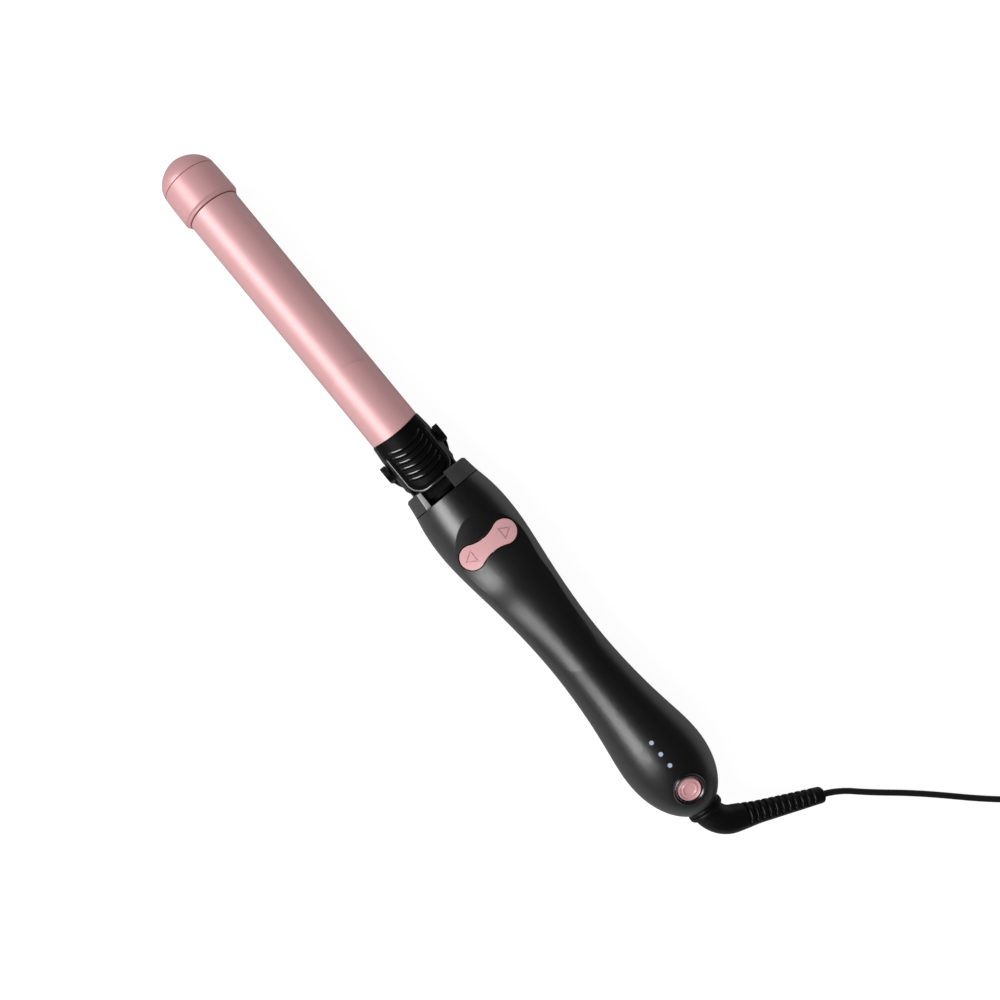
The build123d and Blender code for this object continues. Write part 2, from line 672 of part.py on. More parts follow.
with BuildPart() as pinion_shaft:
    extrude(gear_face(gear_x[0] - pinion_margin, pinion_teeth, -gear_centres, 90 + 180 / pinion_teeth),
            amount=gear_width + 2 * pinion_margin)
    extrude(ring(motor_shaft_x[0], motor_shaft_r, z=-gear_centres),
            amount=motor_shaft_x[1] - motor_shaft_x[0])
finish(pinion_shaft, "pinion_shaft")

with BuildPart() as slip_hub:
    extrude(ring(slip_hub_x[0], slip_hub_r, spindle_r + slip_fit), amount=slip_hub_x[1] - slip_hub_x[0])
finish(slip_hub, "slip_hub")

with BuildPart() as slip_rings:
    for x in slip_rings_x:
        extrude(ring(x, slip_ring_r, slip_hub_r + slip_fit), amount=slip_ring_width)
finish(slip_rings, "slip_rings")

brush_z = (slip_ring_r + running_fit, slip_ring_r + running_fit + brush_height)
brush_places = [(x + slip_ring_width / 2 - brush_width / 2, x + slip_ring_width / 2 + brush_width / 2)
                for x in slip_rings_x]
with BuildPart() as brush_holder:
    add(block(holder_x, (-holder_half_y, holder_half_y), holder_z))
    for place in brush_places:
        add(block((place[0] - slip_fit, place[1] + slip_fit),
                  (-brush_depth / 2 - slip_fit, brush_depth / 2 + slip_fit),
                  (holder_z[0], brush_z[1])), mode=Mode.SUBTRACT)
finish(brush_holder, "brush_holder")

with BuildPart() as brushes:
    for place in brush_places:
        add(block(place, (-brush_depth / 2, brush_depth / 2), brush_z))
finish(brushes, "brushes")

with BuildPart() as gear_frame:
    extrude(ring(front_plate_x[0], front_plate_r, bearing_r + slip_fit),
            amount=front_plate_x[1] - front_plate_x[0])
    extrude(ring(rear_plate_x[0], rear_plate_r, bush_r + slip_fit),
            amount=rear_plate_x[1] - rear_plate_x[0])
    half_bar = (frame_bar_size[0] / 2, frame_bar_size[1] / 2)
    for y in (frame_bar_y, -frame_bar_y):
        add(block((front_plate_x[1], rear_plate_x[0]), (y - half_bar[0], y + half_bar[0]),
                  (-half_bar[1], half_bar[1])))
    add(block((front_plate_x[1], rear_plate_x[0]), (-frame_top_bar[0] / 2, frame_top_bar[0] / 2),
              (holder_z[1], holder_z[1] + frame_top_bar[1])))
    extrude(ring(front_plate_x[0], motor_shaft_r + running_fit, z=-gear_centres),
            amount=rear_plate_x[1] - front_plate_x[0], mode=Mode.SUBTRACT)
finish(gear_frame, "gear_frame")


def motor_block(x, length):
    """A length of the flat-sided gear motor."""
    with BuildSketch(across(x)) as sketch:
        with Locations((0, -gear_centres)):
            RectangleRounded(*motor_size, motor_corner)
    return extrude(sketch.sketch, amount=length)


with BuildPart() as gearbox:
    add(motor_block(gearbox_x, gearbox_length))
    extrude(ring(gearbox_x, motor_shaft_r + running_fit, z=-gear_centres),
            amount=motor_shaft_x[1] - gearbox_x + loose_gap, mode=Mode.SUBTRACT)
finish(gearbox, "gearbox")

with BuildPart() as motor:
    add(motor_block(motor_x, motor_length))
finish(motor, "motor")

# Handle shells, with the hollow as one part to cut with

panel_above = above_panel(0)
panel_above_hollow = above_panel(-wall)
power_normal = (sin(radians(power_tilt_deg)), 0, cos(radians(power_tilt_deg)))
power_plane = Plane(origin=(power_x, 0, axis_z + radius_at(power_x)),
                    x_dir=(cos(radians(power_tilt_deg)), 0, -sin(radians(power_tilt_deg))),
                    z_dir=power_normal)
screw_places = [(x, 0) for x in centre_screws_x] + [(side_screw_x, y) for y in
                                                    (side_screw_y, -side_screw_y)]
ear_places = [(rocker_x + side * (rocker_waist / 2 + ear_gap), rocker_x + side * rocker_pin_half)
              for side in (1, -1)]

with BuildPart() as hollow:
    revolve(handle_section(wall, cavity_end_x), axis=main_axis)
    add(panel_above_hollow, mode=Mode.SUBTRACT)

with BuildPart() as upper_hollow:
    add(hollow.part)
    for x, y in screw_places:
        add(post(x, y, (0.2, bulge_r), screw_boss_r), mode=Mode.SUBTRACT)
    for x, y, board in board_posts:
        add(post(x, y, (board_top[board], bulge_r), post_r), mode=Mode.SUBTRACT)
    for place in ear_places:
        add(block(sorted(place), (-ear_half_width, ear_half_width), (ear_bottom_z, bulge_r)),
            mode=Mode.SUBTRACT)

with BuildPart() as upper_shell:
    revolve(handle_section(0, handle_end_x), axis=main_axis)
    split(bisect_by=plan_plane, keep=Keep.TOP)
    add(panel_above, mode=Mode.SUBTRACT)
    add(upper_hollow.part, mode=Mode.SUBTRACT)
    extrude(ring(cavity_end_x - 1, swivel_bush_r + slip_fit), amount=handle_end_x - cavity_end_x + 2,
            mode=Mode.SUBTRACT)
    extrude(bone(rocker_gap), amount=bulge_r + 1, mode=Mode.SUBTRACT)
    for x in led_x:
        add(post(x, 0, (main_board_top, bulge_r + 1), pipe_r + slip_fit), mode=Mode.SUBTRACT)
    with BuildSketch(power_plane.offset(-bezel_seat)):
        Circle(bezel_r + slip_fit)
    extrude(amount=2 * bezel_seat + 2, mode=Mode.SUBTRACT)
    with BuildSketch(power_plane.offset(-bezel_skirt_end - 1)):
        Circle(bezel_skirt_r + slip_fit)
    extrude(amount=bezel_skirt_end, mode=Mode.SUBTRACT)
    for x, y in screw_places:
        add(post(x, y, (0, shell_screw_top + 0.3), shell_screw_r + slip_fit), mode=Mode.SUBTRACT)
    for x, y, board in board_posts:
        top = board_top[board]
        add(post(x, y, (top - 1, top + board_screw_length - board_thickness + 0.2),
                 board_screw_r + slip_fit), mode=Mode.SUBTRACT)
    pin_reach = rocker_pin_half + slip_fit
    extrude(ring(rocker_x - pin_reach, rocker_pin_r + slip_fit, z=rocker_pin_z), amount=2 * pin_reach,
            mode=Mode.SUBTRACT)
finish(upper_shell, "upper_shell")

with BuildPart() as lower_hollow:
    revolve(handle_section(wall, cavity_end_x), axis=main_axis)
    for x, y in screw_places:
        add(post(x, y, (-bulge_r, -0.2), screw_boss_r + wall), mode=Mode.SUBTRACT)
    for x in (motor_x + 3, motor_x + motor_length - 3):
        add(block((x - 0.8, x + 0.8), (-motor_size[0] / 2, motor_size[0] / 2),
                  (-bulge_r, -gear_centres - motor_size[1] / 2 - slip_fit)), mode=Mode.SUBTRACT)

with BuildPart() as lower_shell:
    revolve(handle_section(0, handle_end_x), axis=main_axis)
    split(bisect_by=plan_plane, keep=Keep.BOTTOM)
    add(lower_hollow.part, mode=Mode.SUBTRACT)
    extrude(ring(cavity_end_x - 1, swivel_bush_r + slip_fit), amount=handle_end_x - cavity_end_x + 2,
            mode=Mode.SUBTRACT)
    for x, y in screw_places:
        add(post(x, y, (-bulge_r - 1, -shell_screw_seat), counterbore_r), mode=Mode.SUBTRACT)
        add(post(x, y, (-shell_screw_seat - 1, 1), shell_screw_r + slip_fit), mode=Mode.SUBTRACT)
finish(lower_shell, "lower_shell")

with BuildPart() as shell_screws:
    for x, y in screw_places:
        add(post(x, y, (-shell_screw_seat - shell_screw_head, -shell_screw_seat), shell_screw_head_r))
        add(post(x, y, (-shell_screw_seat, shell_screw_top), shell_screw_r))
finish(shell_screws, "shell_screws")

with BuildPart() as front_collar:
    spigot_r = handle_front_r - wall - 0.1
    revolve(half_section((collar_front_x, collar_mouth_r), (collar_front_x, collar_front_r - collar_corner),
                         (collar_front_x + collar_corner, collar_front_r),
                         (handle_front_x, handle_front_r), (handle_front_x, spigot_r),
                         (handle_front_x + collar_spigot_length, spigot_r),
                         (handle_front_x + collar_spigot_length, collar_bore_r),
                         (collar_front_x + collar_mouth_depth, collar_bore_r),
                         (collar_front_x + collar_mouth_depth, collar_mouth_r)), axis=main_axis)
    with BuildSketch(across(collar_front_x - 1)):
        with BuildLine():
            Polyline((notch_y[0], notch_floor), (notch_y[0], notch_slope_z),
                     (notch_y[0] - 2 * notch_slope, notch_slope_z + 2 * notch_slope),
                     (notch_y[0] - 2 * notch_slope, handle_front_r + 1), (notch_y[1], handle_front_r + 1),
                     (notch_y[1], notch_floor), close=True)
        make_face()
    extrude(amount=handle_front_x - collar_front_x + 1, mode=Mode.SUBTRACT)
finish(front_collar, "front_collar")

# Controls

with BuildPart() as rocker_arrows:
    with BuildSketch(plan_plane):
        for side in (1, -1):
            base_y = side * (rocker_end_y - arrow_height / 3)
            with BuildLine():
                Polyline((rocker_x - arrow_base / 2, base_y), (rocker_x + arrow_base / 2, base_y),
                         (rocker_x, base_y + side * arrow_height), close=True)
                offset(amount=arrow_line / 2, kind=Kind.INTERSECTION)
            make_face()
            with BuildLine():
                Polyline((rocker_x - arrow_base / 2, base_y), (rocker_x + arrow_base / 2, base_y),
                         (rocker_x, base_y + side * arrow_height), close=True)
                offset(amount=-arrow_line / 2, kind=Kind.INTERSECTION)
            make_face(mode=Mode.SUBTRACT)
    extrude(amount=bulge_r + 1)
    add(above_panel(rocker_proud - arrow_relief), mode=Mode.INTERSECT)

with BuildPart() as rocker:
    with BuildSketch(plan_plane):
        add(bone(0).moved(Location((0, 0, -axis_z))))
    extrude(amount=bulge_r + 1)
    rocker_side = 2 * rocker_end_r
    add(block((rocker_x - rocker_side, rocker_x + rocker_side), (-bulge_r, bulge_r),
              (-1, rocker_bottom_z)), mode=Mode.SUBTRACT)
    add(above_panel(rocker_proud), mode=Mode.SUBTRACT)
    extrude(ring(rocker_x - rocker_side, rocker_pin_r + running_fit, z=rocker_pin_z),
            amount=2 * rocker_side, mode=Mode.SUBTRACT)
    add(rocker_arrows.part, mode=Mode.SUBTRACT)
finish(rocker, "rocker")

with BuildPart() as rocker_pin:
    extrude(ring(rocker_x - rocker_pin_half, rocker_pin_r, z=rocker_pin_z), amount=2 * rocker_pin_half)
finish(rocker_pin, "rocker_pin")

with BuildPart() as power_bezel:
    with BuildSketch(power_plane.offset(-bezel_seat)):
        Circle(bezel_r)
    extrude(amount=bezel_seat + bezel_proud)
    fillet(power_bezel.edges().filter_by(GeomType.CIRCLE).sort_by(Axis(power_plane.origin,
                                                                       power_normal))[-1], radius=0.6)
    with BuildSketch(power_plane.offset(-bezel_skirt_end)):
        Circle(bezel_skirt_r)
    extrude(amount=bezel_skirt_end - bezel_seat)
    with BuildSketch(power_plane.offset(-bezel_skirt_end + bezel_web)):
        Circle(bezel_bore_r)
    extrude(amount=bezel_skirt_end + 2, mode=Mode.SUBTRACT)
    with BuildSketch(power_plane.offset(-bezel_skirt_end)):
        Circle(power_stem_hole_r)
    extrude(amount=bezel_web, mode=Mode.SUBTRACT)
finish(power_bezel, "power_bezel")

with BuildPart() as power_button:
    with BuildSketch(power_plane.offset(-power_button_bottom)):
        Circle(power_button_r)
    extrude(amount=power_button_bottom + power_button_top)
    with BuildSketch(power_plane.offset(power_button_top - power_dish)):
        Circle(power_button_r - 1.0)
    extrude(amount=power_dish, mode=Mode.SUBTRACT)
    with BuildSketch(power_plane.offset(-power_stem_end)):
        Circle(power_stem_r)
    extrude(amount=power_stem_end - power_button_bottom)
    with BuildSketch(power_plane.offset(-power_snap[1])):
        Circle(power_snap_r)
    extrude(amount=power_snap[1] - power_snap[0])
finish(power_button, "power_button")

power_spring = coil_spring(power_plane.offset(-bezel_skirt_end + bezel_web), power_spring_r,
                           power_spring_wire, power_spring_turns,
                           bezel_skirt_end - bezel_web - power_button_bottom)
power_spring.label = "power_spring"
export_step(power_spring, "parts/power_spring.step")

with BuildPart() as light_pipes:
    led_top = main_board_top + led_height
    for x in led_x:
        add(post(x, 0, (led_top + pipe_gap, radius_at(x) + 0.1), pipe_r))
        add(post(x, 0, (led_top + pipe_gap, led_top + pipe_gap + pipe_flange), pipe_flange_r))
finish(light_pipes, "light_pipes")

# Boards and what they carry

with BuildPart() as switch_board:
    add(block(switch_board_x, (-switch_board_half_y, switch_board_half_y),
              (switch_board_top - board_thickness, switch_board_top)))
    for x, y, board in board_posts:
        if board == "switch":
            add(post(x, y, (0, switch_board_top), board_screw_r + slip_fit), mode=Mode.SUBTRACT)
finish(switch_board, "switch_board")

with BuildPart() as main_board:
    add(block(main_board_x, (-main_board_half_y, main_board_half_y),
              (main_board_top - board_thickness, main_board_top)))
    for x, y, board in board_posts:
        if board == "main":
            add(post(x, y, (0, main_board_top), board_screw_r + slip_fit), mode=Mode.SUBTRACT)
finish(main_board, "main_board")

with BuildPart() as board_screws:
    for x, y, board in board_posts:
        under = board_top[board] - board_thickness
        add(post(x, y, (under - board_screw_head, under), board_screw_head_r))
        add(post(x, y, (under, under + board_screw_length), board_screw_r))
finish(board_screws, "board_screws")

half_side = switch_side / 2
with BuildPart() as rocker_switches:
    for y in (-rocker_switch_y, rocker_switch_y):
        top = switch_board_top + rocker_switch_height
        add(block((rocker_x - half_side, rocker_x + half_side), (y - half_side, y + half_side),
                  (switch_board_top, top)))
        add(post(rocker_x, y, (top, top + plunger_height), plunger_r))
finish(rocker_switches, "rocker_switches")

with BuildPart() as power_switch:
    top = main_board_top + power_switch_height
    add(block((power_switch_x - half_side, power_switch_x + half_side), (-half_side, half_side),
              (main_board_top, top)))
    add(post(power_switch_x, 0, (top, top + power_plunger), plunger_r))
finish(power_switch, "power_switch")

with BuildPart() as indicator_leds:
    for x in led_x:
        add(post(x, 0, (main_board_top, main_board_top + led_height), led_r))
finish(indicator_leds, "indicator_leds")

board_under = main_board_top - board_thickness
with BuildPart() as relay:
    add(block(relay_x, (-relay_half_y, relay_half_y), (board_under - relay_height, board_under)))
finish(relay, "relay")

with BuildPart() as capacitor:
    extrude(ring(capacitor_x[0], capacitor_r, z=board_under - capacitor_r),
            amount=capacitor_x[1] - capacitor_x[0])
finish(capacitor, "capacitor")

with BuildPart() as controller_chip:
    add(block(chip_x, (-chip_half_y, chip_half_y), (board_under - chip_height, board_under)))
finish(controller_chip, "controller_chip")

with BuildPart() as wire_harness:
    harness_z = (switch_board_top + main_board_top) / 2 - board_thickness / 2
    for y in (harness_y[0], harness_y[1], -harness_y[0], -harness_y[1]):
        extrude(ring(switch_board_x[1] + slip_fit, lead_r, y=y, z=harness_z),
                amount=main_board_x[0] - switch_board_x[1] - 2 * slip_fit)
finish(wire_harness, "wire_harness")

# Cord swivel

with BuildPart() as swivel_bush:
    extrude(ring(bush_inner_x, swivel_bush_r, swivel_stem_r + running_fit),
            amount=handle_end_x - bush_inner_x)
    extrude(ring(bush_inner_x, bush_flange_r, swivel_stem_r + running_fit), amount=bush_flange)
finish(swivel_bush, "swivel_bush")

with BuildPart() as swivel_core:
    extrude(ring(retainer_x, retainer_r), amount=retainer)
    extrude(ring(retainer_x - contact_pin, contact_pin_r), amount=contact_pin)
finish(swivel_core, "swivel_core")

with BuildPart() as contact_holder:
    block_end_x = retainer_x - contact_pin - running_fit
    add(block((block_end_x - contact_block, block_end_x), (-contact_block_half_y, contact_block_half_y),
              (-contact_block_drop, board_under)))
finish(contact_holder, "contact_holder")

elbow_plane = Plane(origin=(elbow_x, 0, axis_z), x_dir=(1, 0, 0),
                    z_dir=(0, sin(radians(elbow_tilt_deg)), cos(radians(elbow_tilt_deg))))
bend = radians(elbow_bend_deg)
bend_end = (elbow_straight + elbow_bend_r * sin(bend), elbow_bend_r * (1 - cos(bend)))
bend_middle = (elbow_straight + elbow_bend_r * sin(bend / 2), elbow_bend_r * (1 - cos(bend / 2)))
sleeve_way = (cos(bend), sin(bend))
sleeve_start = elbow_plane.from_local_coords((*bend_end, 0))
sleeve_dir = elbow_plane.from_local_coords((*sleeve_way, 0)) - Vector(*elbow_plane.origin)


def sleeve_radius(along):
    """The ribbed sleeve's outer radius, tapering evenly from its first rib to its end."""
    share = (along - rib_start) / (sleeve_length - rib_start)
    return sleeve_front_r + (sleeve_end_r - sleeve_front_r) * share


sleeve_edge = [(elbow_end_r, 0), (sleeve_front_r + 0.2, rib_start - 1.2)]
for rib in range(rib_count):
    rib_from = rib_start + rib * rib_pitch
    rib_to = rib_from + rib_web
    gap_to = rib_from + rib_pitch
    sleeve_edge += [(sleeve_radius(rib_from), rib_from), (sleeve_radius(rib_to), rib_to)]
    if rib < rib_count - 1:
        sleeve_edge += [(sleeve_radius(rib_to) - rib_notch, rib_to + 0.2),
                        (sleeve_radius(gap_to) - rib_notch, gap_to - 0.2)]
sleeve_edge += [(sleeve_end_r, sleeve_length - 0.6), (sleeve_end_r - 0.5, sleeve_length)]

with BuildPart() as cord_elbow:
    extrude(ring(retainer_x + retainer, swivel_stem_r), amount=swivel_ring_x - retainer_x - retainer)
    for x, radius, width in ((swivel_ring_x, swivel_bead_r[0], swivel_bead[0]),
                             (swivel_ring_x + swivel_bead[0], swivel_bead_r[1], swivel_bead[1])):
        extrude(ring(x, radius), amount=width)
        fillet(cord_elbow.edges().filter_by(GeomType.CIRCLE).group_by(
            lambda e: round(e.radius, 3))[-1], radius=width * 0.42)
    with BuildLine(elbow_plane):
        Line((0, 0), (elbow_straight, 0))
        ThreePointArc((elbow_straight, 0), bend_middle, bend_end)
    with BuildSketch(across(elbow_x)):
        Circle(elbow_r)
    with BuildSketch(Plane(origin=sleeve_start, x_dir=elbow_plane.z_dir, z_dir=sleeve_dir)):
        Circle(elbow_end_r)
    sweep(multisection=True)
    with BuildSketch(Plane(origin=sleeve_start, x_dir=elbow_plane.z_dir,
                           z_dir=elbow_plane.z_dir.cross(sleeve_dir))):
        with BuildLine():
            Polyline((0, 0), *sleeve_edge, (0, sleeve_length), close=True)
        make_face()
    revolve(axis=Axis(sleeve_start, sleeve_dir))
finish(cord_elbow, "cord_elbow")

# Cord: a free run down to the plane it lies on, a coil, a tail and the plug


def corner_radii(name, points):
    """The radius of each corner of a route: 0.45 of the shorter run over the tangent of half the turn."""
    found = []
    for before, here, after in zip(points, points[1:], points[2:]):
        first, second = here - before, after - here
        half_turn = radians(first.get_angle(second)) / 2
        found.append(0.45 * min(first.length, second.length) / tan(half_turn))
    print(name, "corner radii", [round(r, 1) for r in found])
    return found


coil_heading = radians(coil_heading_deg)
forward = Vector(cos(coil_heading), sin(coil_heading), 0)
aside = Vector(sin(coil_heading), -cos(coil_heading), 0)
coil_start = Vector(coil_entry_x, coil_entry_y, cord_rest_z)


def coil_place(along, side, z):
    """A point of the coil, from its start, ahead and to the side of the cord's heading."""
    return coil_start + forward * along + aside * side + Vector(0, 0, z)


def coil_arcs():
    """The coil's arcs, each as its two ends and its starting heading.

    Every half turn is half a pitch smaller than the last on the way in and larger on the way out.
    Between two layers the half turn keeps its radius and climbs one layer in two quarter arcs.
    """
    arcs = []
    side, way, z, radius = 0.0, 1, 0.0, coil_outer_r
    for layer, count in enumerate(half_turns):
        step = -coil_pitch / 2 if layer % 2 == 0 else coil_pitch / 2
        for _ in range(count):
            end = side + way * 2 * radius
            arcs.append((coil_place(0, side, z), coil_place(0, end, z), forward * way))
            side, way, radius = end, -way, radius + step
        if layer < len(half_turns) - 1:
            far = sqrt(radius ** 2 + layer_pitch ** 2 / 4)
            middle = coil_place(way * far, side + way * radius, z + layer_pitch / 2)
            end = side + way * 2 * radius
            first = (coil_place(0, side, z), middle, forward * way)
            chord = middle - first[0]
            turned = chord * (2 * chord.dot(first[2]) / chord.dot(chord)) - first[2]
            arcs += [first, (middle, coil_place(0, end, z + layer_pitch), turned)]
            side, way, z, radius = end, -way, z + layer_pitch, radius - step
    quarter = coil_place(way * radius, side + way * radius, z)
    arcs.append((coil_place(0, side, z), quarter, forward * way))
    return arcs


def least_gap(wire, spacing, apart):
    """The smallest distance between points of the wire more than apart along it, less a diameter."""
    count = int(wire.length / spacing)
    points = [tuple(wire.position_at(i / count)) for i in range(count + 1)]
    skip = int(apart / spacing)
    nearest = min(sum((a - b) ** 2 for a, b in zip(points[i], points[j]))
                  for i in range(count + 1) for j in range(i + skip, count + 1))
    return sqrt(nearest) - cord_d


run_points = [sleeve_start + sleeve_dir * along for along in (sleeve_length,
                                                              sleeve_length + cord_lead)]
run_points += [Vector(*p) for p in cord_points]
run_points += [coil_start - forward * coil_lead, coil_start]
with BuildPart() as cord_run:
    with BuildLine():
        FilletPolyline(*run_points, radius=corner_radii("cord_run", run_points))
    with BuildSketch(Plane(origin=run_points[0], z_dir=run_points[1] - run_points[0])):
        Circle(cord_d / 2)
    sweep()
finish(cord_run, "cord_run")

with BuildPart() as cord_coil:
    with BuildLine() as coil_line:
        for start, end, heading in coil_arcs():
            TangentArc(start, end, tangent=heading)
    with BuildSketch(Plane(origin=coil_start, z_dir=forward)):
        Circle(cord_d / 2)
    sweep()
finish(cord_coil, "cord_coil")
coil_wire = Wire(coil_line.edges())
print("cord_coil length", round(coil_wire.length, 1), "least gap",
      round(least_gap(coil_wire, 2.0, pi * coil_outer_r / 2), 2))

tail_start = coil_arcs()[-1][1]
tail_drop = tail_start.Z - plug_z
tail_points = [tail_start] + [tail_start + aside * along + forward * out - Vector(0, 0, drop)
                              for (along, out), drop in zip(tail_points_along,
                                                            (0, tail_drop, tail_drop))]
with BuildPart() as cord_tail:
    with BuildLine():
        FilletPolyline(*tail_points, radius=corner_radii("cord_tail", tail_points))
    with BuildSketch(Plane(origin=tail_points[0], z_dir=tail_points[1] - tail_points[0])):
        Circle(cord_d / 2)
    sweep()
finish(cord_tail, "cord_tail")

plug_start = tail_points[-1]
plug_dir = (tail_points[-1] - tail_points[-2]).normalized()
plug_plane = Plane(origin=plug_start, x_dir=Vector(0, 0, 1).cross(plug_dir), z_dir=plug_dir)
with BuildPart() as plug_body:
    with BuildSketch(plug_plane):
        Circle(plug_relief_r[0])
    with BuildSketch(plug_plane.offset(plug_relief)):
        Circle(plug_relief_r[1])
    loft()
    with BuildSketch(plug_plane.offset(plug_relief)):
        RectangleRounded(plug_width, plug_height, plug_corner)
    extrude(amount=plug_length)
    fillet(plug_body.faces().sort_by(Axis(plug_start, plug_dir))[-1].edges(), radius=1.2)
    for side in (-1, 1):
        with BuildSketch(plug_plane.offset(plug_relief + plug_length - blade_root)):
            with Locations((side * blade_spacing / 2, 0)):
                Rectangle(blade_thickness + 2 * slip_fit, blade_width + 2 * slip_fit)
        extrude(amount=blade_root, mode=Mode.SUBTRACT)
finish(plug_body, "plug_body")

with BuildPart() as plug_blades:
    for side in (-1, 1):
        with BuildSketch(plug_plane.offset(plug_relief + plug_length - blade_root)):
            with Locations((side * blade_spacing / 2, 0)):
                Rectangle(blade_thickness, blade_width)
        extrude(amount=blade_root + blade_length)
finish(plug_blades, "plug_blades")

straight_volume = cord_run.part.volume + cord_tail.part.volume
print("cord length", round(coil_wire.length + straight_volume / (pi * cord_d ** 2 / 4), 1))
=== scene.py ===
"""A rotating curling iron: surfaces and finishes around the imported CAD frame."""

import bmesh
import bpy
import numpy as np
from mathutils import Matrix


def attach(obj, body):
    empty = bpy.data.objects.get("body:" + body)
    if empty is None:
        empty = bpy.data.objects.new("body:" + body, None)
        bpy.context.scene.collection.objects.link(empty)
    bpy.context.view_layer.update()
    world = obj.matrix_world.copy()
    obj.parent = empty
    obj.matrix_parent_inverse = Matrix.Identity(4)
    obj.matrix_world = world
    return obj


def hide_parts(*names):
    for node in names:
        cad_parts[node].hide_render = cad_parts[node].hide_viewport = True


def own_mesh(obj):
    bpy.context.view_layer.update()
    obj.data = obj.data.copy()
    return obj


bl_info = {
    "name": "Rotating curling iron",
    "version": (1, 0, 0),
    "blender": (4, 5, 0),
    "location": "3D View > Sidebar > Curling iron",
    "description": "Surfaces and finishes for a rotating curling iron",
    "category": "Add Mesh",
}

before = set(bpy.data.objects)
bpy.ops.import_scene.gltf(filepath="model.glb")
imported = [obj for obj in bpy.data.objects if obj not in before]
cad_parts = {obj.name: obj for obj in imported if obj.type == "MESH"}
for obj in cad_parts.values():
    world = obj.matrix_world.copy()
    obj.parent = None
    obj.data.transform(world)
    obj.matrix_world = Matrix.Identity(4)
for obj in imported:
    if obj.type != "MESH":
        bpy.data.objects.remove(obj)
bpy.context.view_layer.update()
MM = 0.001

# Stage, in metres: the camera, the lamp, and what the surroundings and the floor give back
CAMERA_AT, CAMERA_TURN = (0.00725, 0.0, 0.4824), np.radians(50.5897)
CAMERA_SHIFT = (0.0529, -0.0057)               # in picture widths
CAMERA_LENS, CAMERA_SENSOR = 36.0, 36.0        # in millimetres
CAMERA_REACH = (0.01, 20.0)
LAMP_AT, LAMP_SIZE = (-0.328, -0.44, 0.54), (1.044, 0.40)
NEAR_SIDE_FROM, NEAR_SIDE_FULL = -0.30, -0.95  # share of a ray's direction that points along Y
FLOOR_LIT, FLOOR_GLOW = 0.2, 0.9               # for the camera: its white, and its own light
FLOOR_PLAIN, FLOOR_IN_GLOSS = 0.7, 0.25        # its grey to matt surfaces, and in glossy ones

# All materials, and how much darker than the barrel its tip is
TIP_SHADE = 0.94
COAT_IOR = 1.7
RELIEF_DEPTH = 0.00002     # metres
SLOW_SCALE = 60.0          # the scale of the slow changes of colour
NOISE_RANGE = (0.3, 0.7)   # where most of a noise's values lie

# Meshes, in metres: points nearer than this are one
SAME_POINT = 1e-7

# The long axis above the floor, in millimetres like every size below
AXIS_Z = 20.4
FLOOR_DROP = 0.1

# Free cord: the corners of its route, the coil's start, headings and radii, and its tail
CORD_D, CORD_LENGTH = 3.0, 1938.0
RUN = [(230.929, 47.289, 6.392), (235.292, 54.837, 4.157), (246.5, 65.5, 1.9), (262.5, 84.5, 1.6),
       (288.308, 110.309, 1.6)]
COIL_START = np.array((309.0, 135.5, 1.6))
COIL_HEADING = np.radians(50.6)
COIL_AHEAD = np.array((np.cos(COIL_HEADING), np.sin(COIL_HEADING), 0.0))
COIL_ASIDE = np.array((np.sin(COIL_HEADING), -np.cos(COIL_HEADING), 0.0))
COIL_INNER_R = 11.925
COIL_PITCH = 3.45          # from one turn to the next, across and up
HALF_TURNS = 30.5
INNERMOST, IN_AND_OUT = 7.5, 16    # half turns to the first innermost place, and from one to the next
LAYER_CLIMBS = (7, 15, 23)         # half turns to the start of each layer's climb
COIL_MIDDLE_R = COIL_INNER_R + INNERMOST * COIL_PITCH / 2
POINTS_PER_HALF_TURN = 6
TAIL = [(354.718, 129.005, 11.95), (366.066, 117.613, 6.6), (376.653, 105.294, 6.6)]

# Barrel and tip
TIP_SEAM_X, BAND_END_X, BARREL_END_X = -179.6, -162.4, -27.5
DOME_R, DOME_DEPTH, DOME_EDGE = 14.0, 11.5, 0.28
DOME_POWERS = (1.05, 1.25)
DOME_FOOT, DOME_LIP = 0.1, 0.8     # how far the dome goes past the seam, and its edge in towards the axis
BARREL_R, BARREL_WALL = 12.7, 1.0
BARREL_SPREAD, SPREAD_END_X = 0.15, -80.0   # how much wider the coat is at the tip, and where that ends
BARREL_START_X = TIP_SEAM_X + 4.4
BARREL_ROUND, BAND_ROUND = 0.2, 0.5
BAND_FRONT = [(0.25, -1.2), (0.25, 0.02), (4.0, 0.24)]    # from the seam and the dome's radius
BAND_BEVEL = [(-1.9, 1.8), (-1.1, 1.0), (-0.1, 0.62), (0.0, -0.4)]   # from the end and the barrel's radius
# A thin dark ring just proud of the barrel behind the tip's band: painted shade for the contact shadow at
# that joint
JOINT_SHADE_X, JOINT_SHADE_OUT = (BAND_END_X - 0.3, BAND_END_X + 0.38), 0.06

# Clamp lever: its outline, the places and bow of its grooves, and its reliefs
LEVER_FRONT_X, LEVER_TAIL_X = -30.4, 0.3
LEVER_HALF, LEVER_CORNER = 11.6, 7.5
LEVER_BOW, LEVER_BOW_SHARE = 1.8, 0.3      # hollow of the front edge, and the share it fades over
LEVER_R, LEVER_WALL, LEVER_THIN_WALL = 14.6, 1.2, 0.5
LEVER_GRID = (250, 130)            # rows along it, and columns across one face
SIDE_CROWD, TAIL_CROWD = 0.35, 1.25
GROOVES = (-20.5, -17.6, -14.6, -11.5, -8.2, -5.4)
GROOVE_HALF, GROOVE_BOW = 9.4, 3.0
GROOVE_DEPTH, GROOVE_WIDTH, GROOVE_FADE = 0.7, 0.45, 1.3
RELIEF_X = (-23.5, -21.0)          # where the rim and the grooves begin, and where they are full
RIM_RISE, RIM_START, RIM_FALL = 0.15, 0.5, (1.1, 1.5)
FINE_IN, FINE_WIDTH, FINE_DEPTH = 1.8, 0.4, 0.5
